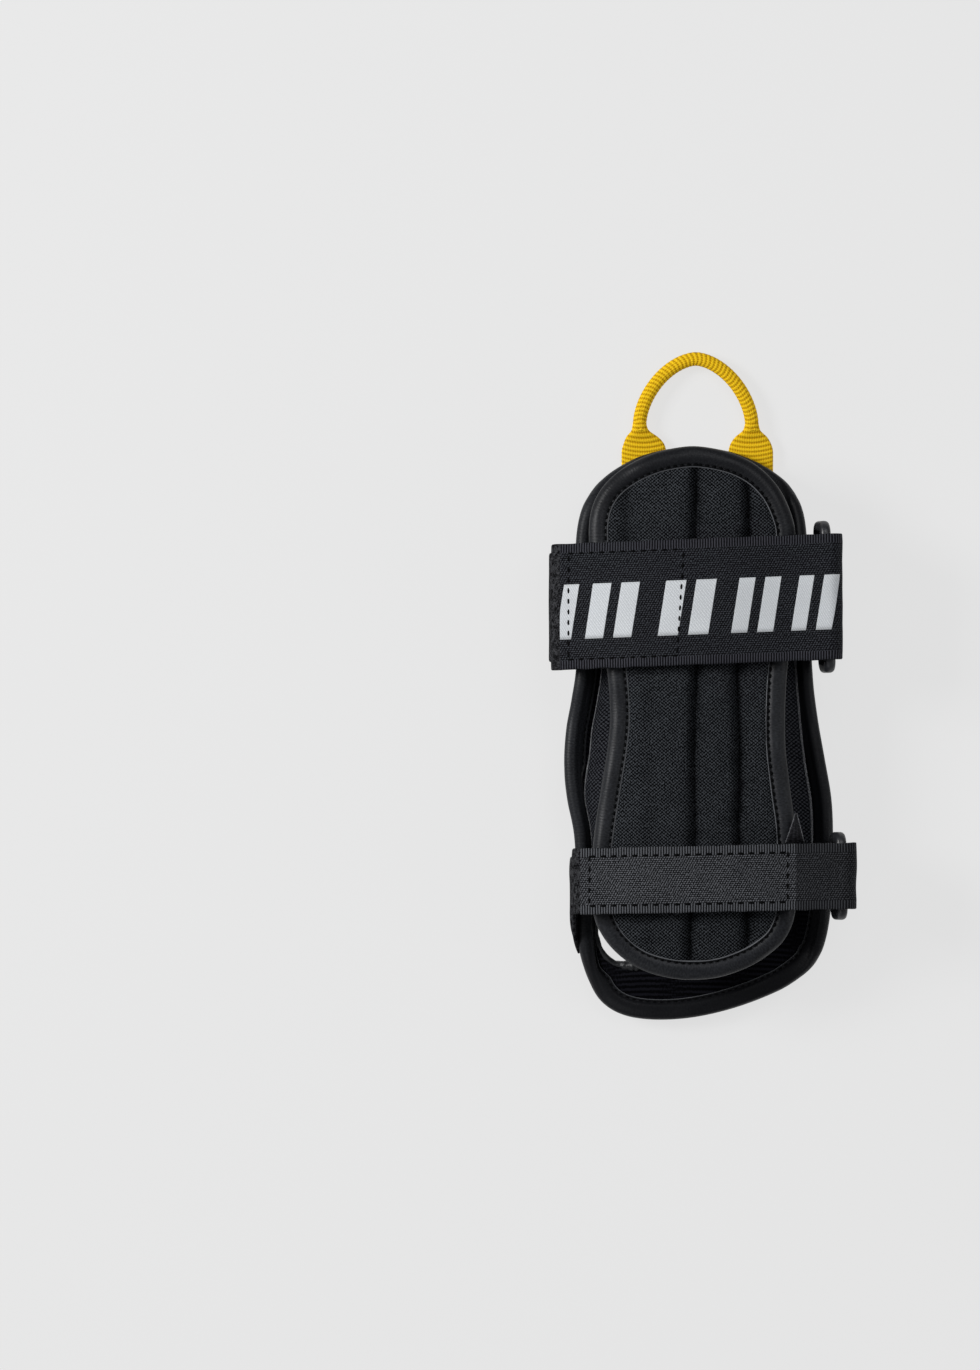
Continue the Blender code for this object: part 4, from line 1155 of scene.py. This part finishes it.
def hand_lines():
    """Middle lines of the hand strap's sewn base and of its folded-back flap."""
    base = [(-38.4, 6.6), (-39.2, 9.0), (-39.9, 12.4), (-40.2, 17.0), (-39.7, 23.0), (-38.2, 27.6)]
    base += [over_back(x, 0.0) for x in (-34.0, -25.0, -14.0, -3.0, 8.0, 18.0, 26.0)]
    base = Strap(base + [(31.5, 29.5), (35.2, 28.2), (38.4, 26.6), (41.0, 25.8)], HAND, 51)
    top = [(32.0, 34.2), (23.0, 35.3)]
    top += [over_back(x, FLAP_LIFT) for x in (14.0, 5.0, -3.0, -12.0, -22.0, -31.0)]
    flap = Strap(arc(HAND_BAR, FOLD, -90, 90, 13) + top + [(-37.8, 33.6)], HAND, 53)
    return base, flap


def bend_flap(piece, bar, place):
    """Bakes the piece's placement into its mesh."""
    start = turned(bar[0], 0.0, bar[1] - FOLD, *place)
    up = turned(-math.sin(RING_LEAN), 0.0, math.cos(RING_LEAN), 0.0, place[1])
    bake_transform(piece)


def bend_band(piece, ring, start, end, place):
    """Bakes the piece's placement into its mesh."""
    a, b = (turned(p[0], 0.0, p[1], *place) for p in (start, end))
    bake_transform(piece)


def hook_patch(name, x0, x1, tip, place, width, look):
    """Hook tape under a flap."""
    under = FLAP / 2 + GAP + HOOK / 2
    line = [over_back(x, FLAP_LIFT - under) for x in np.linspace(x0, x1, 8)] + [tip]
    patch = Strap(line, place, 31, 0.8, 0.04)
    return strap_piece(name, patch, flat_section(width, HOOK), look)


def ring_piece(name, upper, length, place, look):
    """A moulded loop of round bar with an eased flat parting on its inside."""
    low = lower_bar(upper)
    up = np.array([math.sin(RING_LEAN), math.cos(RING_LEAN)])
    half_y, half_z = length / 2 - BAR, RING_HEIGHT / 2 - BAR
    bend = RING_CORNER - BAR
    corners = []
    for quarter, (sy, sz) in enumerate([(1, 1), (-1, 1), (-1, -1), (1, -1)]):
        for a in np.radians(90 * quarter + np.linspace(0, 90, 9)):
            corners.append((sy * (half_y - bend) + bend * math.cos(a),
                            sz * (half_z - bend) + bend * math.sin(a)))
    line = even_loop(np.array(corners), 220)
    out = normal_in_plan(line)
    turn = turns(20)
    c, s = np.cos(turn), np.sin(turn)
    reach = BAR * rounded(c, s, BAR_SQUARE)
    y = line[:, :1] + out[:, :1] * c * reach
    z = half_z + line[:, 1:] + out[:, 1:] * c * reach
    x = low[0] + up[0] * z + up[1] * s * reach
    rings = turned(x, y, low[1] + up[1] * z - up[0] * s * reach, *place)
    return sweep(name, rings, look, closed=True)


def keeper_piece(look):
    """Doubled, ribbed webbing that ties the hand strap's ring to the palm panel's side."""
    wrap = arc(lower_bar(HAND_BAR), BAR + GAP + 0.65, 205, -25, 8)
    inner = [(38.9, 9.9), (39.9, 12.6), (39.9, 14.6)]
    outer = [(42.5, 14.8), (41.7, 12.4), (40.0, 9.6), (37.7, 7.3), (35.4, 5.4), (33.6, 4.2)]
    strap = Strap(inner + wrap + outer, HAND, 33, 0.4, 0.05)
    half = (HAND_WIDTH - 1.0) / 2
    across = np.linspace(-half, half, 41)
    groove = 0.65 - 0.2 * np.abs(np.sin(across / 2.4 * math.pi)) ** 4
    groove[[0, -1]] = 0.3
    section = section_of(across, -groove, groove)
    return strap_piece("hand_ring_keeper_webbing", strap, section, look)


def strap_line(strap, runs, across, lift):
    """A line of stitches along a strap: its points and their outward normals."""
    points = strap.at(runs, across, lift)
    above = strap.at(runs, across, lift + math.copysign(1.0, lift))
    return points, above - points


def box_stitch(strap, width, run0, run1, slant, lift):
    """Stitches down both long sides of a sewn patch and across both of its ends.

    The first end slants by `slant` over the strap's width."""
    runs = np.linspace(run0, run1, 120)
    side = width / 2 - BOX_INSET
    lines = [strap_line(strap, runs, a + 0 * runs, lift) for a in (-side, side)]
    across = np.linspace(-side, side, 60)
    for end, lean in ((run0, slant), (run1, 0.0)):
        lines.append(strap_line(strap, end + lean * across / width, across, lift))
    return lines


def print_marks(flap, look):
    """Pairs of slanted bars printed along the flap."""
    parts = []
    faces, where = ring_faces(12, 80, False)
    uv = grid(np.linspace(0, MARK_HEIGHT, 12), np.arange(81) * 0.3)
    uv = uv[where[..., 0], where[..., 1]]
    for x0, x1 in MARKS:
        bars = 2 if x1 - x0 > MARK_PAIR else 1
        wide = (x1 - x0 - MARK_GAP * (bars - 1)) / bars
        for k in range(bars):
            left = x0 + k * (wide + MARK_GAP)
            rows = []
            run = np.linspace(flap.top_run(left), flap.top_run(left + wide), 40)
            for across in np.linspace(-0.5, 0.5, 12) * MARK_HEIGHT:
                at = (run - MARK_SLANT * across / MARK_HEIGHT, across + MARK_SHIFT)
                face, core = (flap.at(*at, -FLAP / 2 + lift) for lift in (-0.06, 0.3))
                rows.append(np.concatenate([face, core[::-1]]))
            parts.append((np.concatenate(rows), faces, uv))
    return join_meshes("strap_print", parts, look)


# ---- pull loop and label ------------------------------------------------------------------
def loop_line():
    """The pull loop's middle line, from inside one tab over the top to inside the other."""
    mid = sum(LOOP_NECKS) / 2
    half = (LOOP_NECKS[1] - LOOP_NECKS[0]) / 2
    start = LOOP_NECK_Y + 1.5
    points = [(LOOP_NECKS[0], LOOP_NECK_Y - 0.5)]
    for angle in np.linspace(math.pi, 0, 61):
        c, s = math.cos(angle), math.sin(angle)
        reach = rounded(c, s, LOOP_ROUND)
        points.append((mid + half * c * reach, start + (LOOP_TOP_Y - start) * s * reach))
    points.append((LOOP_NECKS[1], LOOP_NECK_Y - 0.5))
    return resample(np.array(points), 260)


def rib_relief(run, phase=0.0):
    """Webbing ribs: rounded ridges with narrow valleys."""
    return np.abs(np.cos((run / RIB + phase) * math.pi)) ** 0.6


def pull_loop_cord(look):
    """Webbing rolled into a cord; its ribs bow where it is folded round itself."""
    line = loop_line()
    run = run_of(line)
    along = unit(np.gradient(line, axis=0))
    turn = turns(28) + math.pi / 28
    radius = CORD / 2
    rings, uv = [], []
    for (x, y), (ax, ay), r in zip(line, along, run):
        bow = 0.35 * np.cos(2 * turn - 0.6)
        swell = radius - 0.02 + 0.13 * rib_relief(r + bow)
        swell = swell - LAP_DEPTH * bell(turn - LAP_TURN, 0.16)
        side = np.cos(turn) * swell
        rings.append(np.stack([x - ay * side, y + ax * side, radius + np.sin(turn) * swell], 1))
        uv.append(np.stack([r + bow, turn * radius], axis=1))
    uv = np.array(uv)
    piece = sweep("pull_loop_cord", np.array(rings), look,
                  np.concatenate([uv, uv[:, :1]], axis=1))
    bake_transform(piece)
    return piece


def pull_loop_tab(name, neck, shift, look):
    """Flat ribbed webbing from under the binding, its round shoulders rolling in to the cord."""
    y = np.arange(61.0, LOOP_NECK_Y + 2.0, 0.09)
    half = np.interp(y, *curve_through(TAB_HALF, 6).T)
    thick = 0.6 + (CORD / 2 - 0.5) * smooth((y - 73.5) / 5.5)
    middle = neck + shift * (1 - smooth((y - 73.0) / 6.0))
    height = TAB_Z + (CORD / 2 - TAB_Z) * smooth((y - 73.5) / 5.5)
    t = np.linspace(-1, 1, 25)
    rings, uv = [], []
    for yy, h, k, x0, z0 in zip(y, half, thick, middle, height):
        bow = 1.1 * (1 - t * t) * (2 * h / TAB_WIDTH)
        fall = np.maximum(np.sqrt(np.maximum(1 - np.abs(t) ** 2.6, 0.0)), 0.12)
        lift = (k + 0.16 * (rib_relief(yy + bow) - 1.0)) * fall
        x = x0 + t * h
        top = np.stack([x, np.full_like(x, yy), z0 + lift], axis=1)
        bottom = np.stack([x, np.full_like(x, yy), z0 - lift], axis=1)
        rings.append(np.concatenate([top, bottom[::-1]]))
        row = np.stack([yy + bow, t * h], axis=1)
        uv.append(np.concatenate([row, row[::-1], row[:1]]))
    return sweep(name, np.array(rings), look, np.array(uv))


def care_label(look):
    """A blank folded label whose point lies over the back panel's binding."""
    rings = []
    for y, left, right in ((-47.2, 24.0, 29.7), (-44.0, 25.1, 28.9), (-40.6, 26.3, 28.0),
                           (-38.2, 27.0, 27.3)):
        x = np.linspace(left, right, 9)
        z = 31.6 - 0.3 * (x - 25.2) + 0.3 * np.sin((x - left) / (right - left) * math.pi)
        low = np.stack([x, np.full_like(x, y), z], axis=1)
        rings.append(np.concatenate([low, (low + (0, 0, 0.4))[::-1]]))
    rings = np.array(rings)
    return sweep("blank_care_label", rings, look), [rings[:, 17], rings[:, 9]]


# ---- the whole guard ----------------------------------------------------------------------
def no_shade(x, y):
    """No painted shade on the palm's cloth."""
    return 0.0 * x


def shell_faces(panel, relief):
    """Offsets of the shell's two faces from the panel's plain outer face."""
    def outer(x, y):
        return -relief(x, y) * panel.fade(x, y)
    return outer, lambda x, y: np.maximum(outer(x, y) + 0.5, SHELL)


def foam_faces(panel, relief):
    """The foam clears the quilted shell and the lining."""
    return (lambda x, y: 0 * x + SHELL + 2.2,
            lambda x, y: np.maximum(panel.thickness(x, y) - LINING - 0.5, SHELL + 2.7))


def lining_faces(panel, relief):
    """The lining is the panel's innermost layer."""
    return lambda x, y: panel.thickness(x, y) - LINING, panel.thickness


def build_panels(looks):
    """Palm and back panels: shells, foam, linings, folded bindings and the thumb hole's roll."""
    palm = Panel(PALM_OUTLINE, palm_height, 1)
    dorsal = Panel(DORSAL_OUTLINE, dorsal_height, -1)
    # each panel's painted shade: in the back panel's grooves, none on the palm
    for name, panel, relief, painted_shades, step in (
            ("dorsal", dorsal, dorsal_relief, groove_shade, 0.8),
            ("palm", palm, palm_relief, no_shade, 1.1)):
        cutter = hole_cutter(palm) if name == "palm" else None
        for part, inward, faces, spacing, slot in (
                ("shell", 0.45, shell_faces, step, "shell_mesh"),
                ("foam", 8.5, foam_faces, 2.4, "foam"),
                ("lining", 0.45, lining_faces, 1.6, "lining_mesh")):
            piece = skin(f"{name}_{part}_cloth", panel, inset(panel.edge, inward), spacing,
                         *faces(panel, relief), looks[part], painted_shades)
            if cutter:
                cut_away(piece, cutter)
            settle(piece, "guard", slot, f"{name}_{part}")
        if cutter:
            bpy.data.objects.remove(cutter)
    # each binding with its painted shade
    for name, panel, lips, swells, shades, seed in (
            ("palm", palm, palm_lip, palm_swell, palm_shade, 21),
            ("dorsal", dorsal, dorsal_lip, dorsal_swell, dorsal_shade, 22)):
        tape = binding(f"{name}_edge_tape", panel, lips, swells, shades, looks["binding"], seed)
        settle(tape, "guard", "binding", f"{name}_binding")
    settle(hole_roll(palm, looks["hole"]), "guard", "hole_binding", "thumb_hole_binding")
    return palm, dorsal


def build_seams(palm, dorsal, looks):
    """Stitches along the bindings, in the back panel's grooves and round the palm's channels."""
    y = np.linspace(-79.0, 64.0, 500)
    grooves = [(x, y) for x in groove_places(y)[1:]]
    channels = [channel_outline(*sides).T for sides in CHANNELS]
    quilted = [seam_line(dorsal, x, y, -dorsal_relief(x, y) - 0.05) for x, y in grooves]
    channelled = [seam_line(palm, x, y, -palm_relief(x, y) - 0.05) for x, y in channels]
    for name, lines, pitch, length, radius, slot in (
            ("dorsal_seams", [binding_seam(dorsal, dorsal_lip, far) for far in (False, True)],
             2.1, 1.35, 0.34, "binding"),
            ("palm_seams", [binding_seam(palm, palm_lip, far) for far in (False, True)],
             2.1, 1.35, 0.22, "binding"),
            ("dorsal_quilting", quilted, 2.2, 1.5, 0.16, "shell_mesh"),
            ("palm_channels", channelled, 2.5, 1.7, 0.2, "shell_mesh")):
        piece = stitches(name, lines, looks["thread"], pitch, length, radius)
        settle(piece, "guard", slot)


def build_gussets(palm, dorsal, looks):
    """The two mesh walls, each with the pale seam along its foot."""
    for name, side, y0, y1, bulge in GUSSETS:
        wall, foot = gusset(f"gusset_mesh_{name}", palm, dorsal, side, y0, y1, bulge,
                            looks["gusset"])
        settle(wall, "guard", "gusset_mesh", f"gusset_{name}")
        seam = piping(f"gusset_seam_{name}", foot, SEAM_RADIUS, looks["pale_thread"])
        settle(seam, "guard", "binding")
        size = gusset_size(palm, dorsal, side, y0, y1)


def gusset_size(palm, dorsal, side, y0, y1):
    """A gusset's mean width and its length, cut flat with a little ease, in metres."""
    ends = [gusset_ends(palm, dorsal, y, side) for y in np.linspace(y0, y1, 40)]
    width = float(np.mean([np.linalg.norm(high - low) for low, high in ends]))
    return (width * GUSSET_EASE[0] * MM, (y1 - y0) * GUSSET_EASE[1] * MM)


def build_strap(name, lines, looks):
    """A strap's sewn band, its folded-back flap with stitches, its hook tape and its ring."""
    strap = STRAPS[name]
    part, width, place, bar = (strap[key] for key in ("part", "width", "place", "bar"))
    band, flap = lines()
    piece = strap_piece(f"{name}_{part}", band, pile_section(width, BAND), looks["pile"],
                        BAND_TAPER, strap["lean"])
    bend_band(piece, f"{name}_ring", *strap["bridge"], place)
    slotted(piece, "loop_pile", f"{name}_strap_{part}")

    cloth = strap_piece(f"{name}_flap_weave", flap, flat_section(width, FLAP), looks[name])
    box, start, end, slant = strap["sewn"]
    rows = box_stitch(flap, box, flap.top_run(start), flap.run[-1] - end, slant, STITCH_LIFT)
    thread = stitches(f"{name}_flap_stitches", rows, looks["thread"], *BOX_STITCH)
    pieces = [cloth, thread]
    if name == "forearm":
        pieces.append(print_marks(flap, looks["print"]))
    for piece in pieces:
        bend_flap(piece, bar, place)
    slotted(cloth, "strap_weave", f"{name}_strap_flap")
    slotted(thread, "strap_weave")

    tape = hook_patch(f"{name}_hook_tape", *strap["hook"], place, width - 2 * HOOK_INSET,
                      looks["hook"])
    settle(tape, f"{name}_flap", "hook_tape", f"{name}_hook_patch")
    ring = ring_piece(f"{name}_ring_loop", bar, strap["ring"], place, looks["ring"])
    settle(ring, f"{name}_ring", "ring_plastic", f"{name}_ring")


def build_keeper(looks):
    """The hand ring's webbing."""
    keeper = keeper_piece(looks["keeper"])
    bend_band(keeper, "hand_ring", (40.6, 12.0), (39.8, 16.2), HAND)
    slotted(keeper, "keeper_webbing", "hand_ring_keeper")


def build_loop(looks):
    """The pull loop's cord and the two flat tabs that it grows out of."""
    cord = pull_loop_cord(looks["yellow"])
    slotted(cord, "yellow_webbing", "pull_loop")
    names = ("thumb_side", "little_finger_side")
    for side, neck, shift in zip(names, LOOP_NECKS, TAB_SHIFT):
        tab = pull_loop_tab(f"loop_tab_{side}", neck, shift, looks["yellow"])
        settle(tab, "guard", "yellow_webbing", f"pull_loop_tab_{side}")


def build_label(looks):
    """The blank label and the pale threads along its two edges."""
    label, edges = care_label(looks["label"])
    settle(label, "guard", "label_satin", "care_label")
    for side, line in zip(("left", "right"), edges):
        edge = piping(f"care_label_{side}_edge", line, 0.13, looks["pale_thread"])
        settle(edge, "guard", "label_satin")


def finish_cad_parts(frame, looks):
    """The stays stay as CAD made them and take their plastic."""
    for name, node in frame["nodes"].items():
        if "_stay_" in name:
            node.data.materials.clear()
            node.data.materials.append(looks["stay"])


# ---- floor, light and camera --------------------------------------------------------------
def build_stage():
    """A pale, evenly lit surface under the guard."""
    bpy.ops.mesh.primitive_plane_add(size=FLOOR_SIZE * MM, location=(0, 0, FLOOR_Z * MM))
    floor = bpy.context.object
    floor.name = "floor"
    mat = bpy.data.materials.new("pale_floor")
    mat.use_nodes = True
    shader = mat.node_tree.nodes["Principled BSDF"]
    for socket, value in (("Base Color", (0.10, 0.10, 0.10, 1)), ("Roughness", 1.0),
                          ("Specular IOR Level", 0.0), ("Emission Color", (1.0, 1.0, 1.0, 1)),
                          ("Emission Strength", 0.70)):
        shader.inputs[socket].default_value = value
    floor.data.materials.append(mat)


def area_light(name, place, size, power, colour):
    """A soft box at a place in millimetres, aimed at the guard's middle."""
    data = bpy.data.lights.new(name, "AREA")
    data.shape = "RECTANGLE"
    data.size, data.size_y = (s * MM for s in size)
    data.energy = power
    data.color = colour
    light = bpy.data.objects.new(name, data)
    light.location = [c * MM for c in place]
    light.rotation_euler = (-light.location).to_track_quat("-Z", "Y").to_euler()
    bpy.context.scene.collection.objects.link(light)


def build_lights():
    """Soft boxes above and at both sides, over an even pale surround."""
    world = bpy.data.worlds.new("surround")
    world.use_nodes = True
    surround = world.node_tree.nodes["Background"].inputs
    surround["Color"].default_value = (0.97, 0.98, 1.0, 1)
    surround["Strength"].default_value = 0.18
    bpy.context.scene.world = world
    for name, place, size, power, colour in (
            ("key", (-1000, 300, 800), (420, 420), 14.0, (1.0, 1.0, 1.0)),
            ("fill", (300, 500, 1100), (700, 500), 3.5, (0.97, 0.98, 1.0)),
            ("low", (-500, -900, 700), (700, 300), 1.0, (0.98, 0.99, 1.0)),
            ("side", (1000, -200, 500), (500, 500), 1.5, (0.98, 0.99, 1.0))):
        area_light(name, place, size, power, colour)


def build_camera():
    """A long lens far above the guard, looking straight down."""
    data = bpy.data.cameras.new("camera")
    data.sensor_fit = "VERTICAL"
    data.sensor_height = SENSOR
    data.lens = SENSOR * CAMERA_DISTANCE / VIEW_HEIGHT
    data.clip_end = 20.0
    camera = bpy.data.objects.new("camera", data)
    camera.location = (VIEW_CENTRE[0] * MM, VIEW_CENTRE[1] * MM,
                       (VIEW_PLANE + CAMERA_DISTANCE) * MM)
    bpy.context.scene.collection.objects.link(camera)
    bpy.context.scene.camera = camera


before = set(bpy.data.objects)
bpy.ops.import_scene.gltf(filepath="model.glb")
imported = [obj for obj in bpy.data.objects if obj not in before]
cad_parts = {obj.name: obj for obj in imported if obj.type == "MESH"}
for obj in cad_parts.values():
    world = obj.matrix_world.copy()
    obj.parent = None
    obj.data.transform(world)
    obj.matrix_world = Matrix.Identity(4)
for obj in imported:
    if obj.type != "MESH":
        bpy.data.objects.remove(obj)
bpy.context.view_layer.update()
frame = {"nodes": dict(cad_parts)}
bpy.context.scene.view_settings.view_transform = "Standard"
looks = make_looks()
build_camera()
build_loop(looks)
palm, dorsal = build_panels(looks)
build_seams(palm, dorsal, looks)
build_gussets(palm, dorsal, looks)
build_strap("forearm", forearm_lines, looks)
build_strap("hand", hand_lines, looks)
build_keeper(looks)
build_label(looks)
finish_cad_parts(frame, looks)
build_stage()
build_lights()
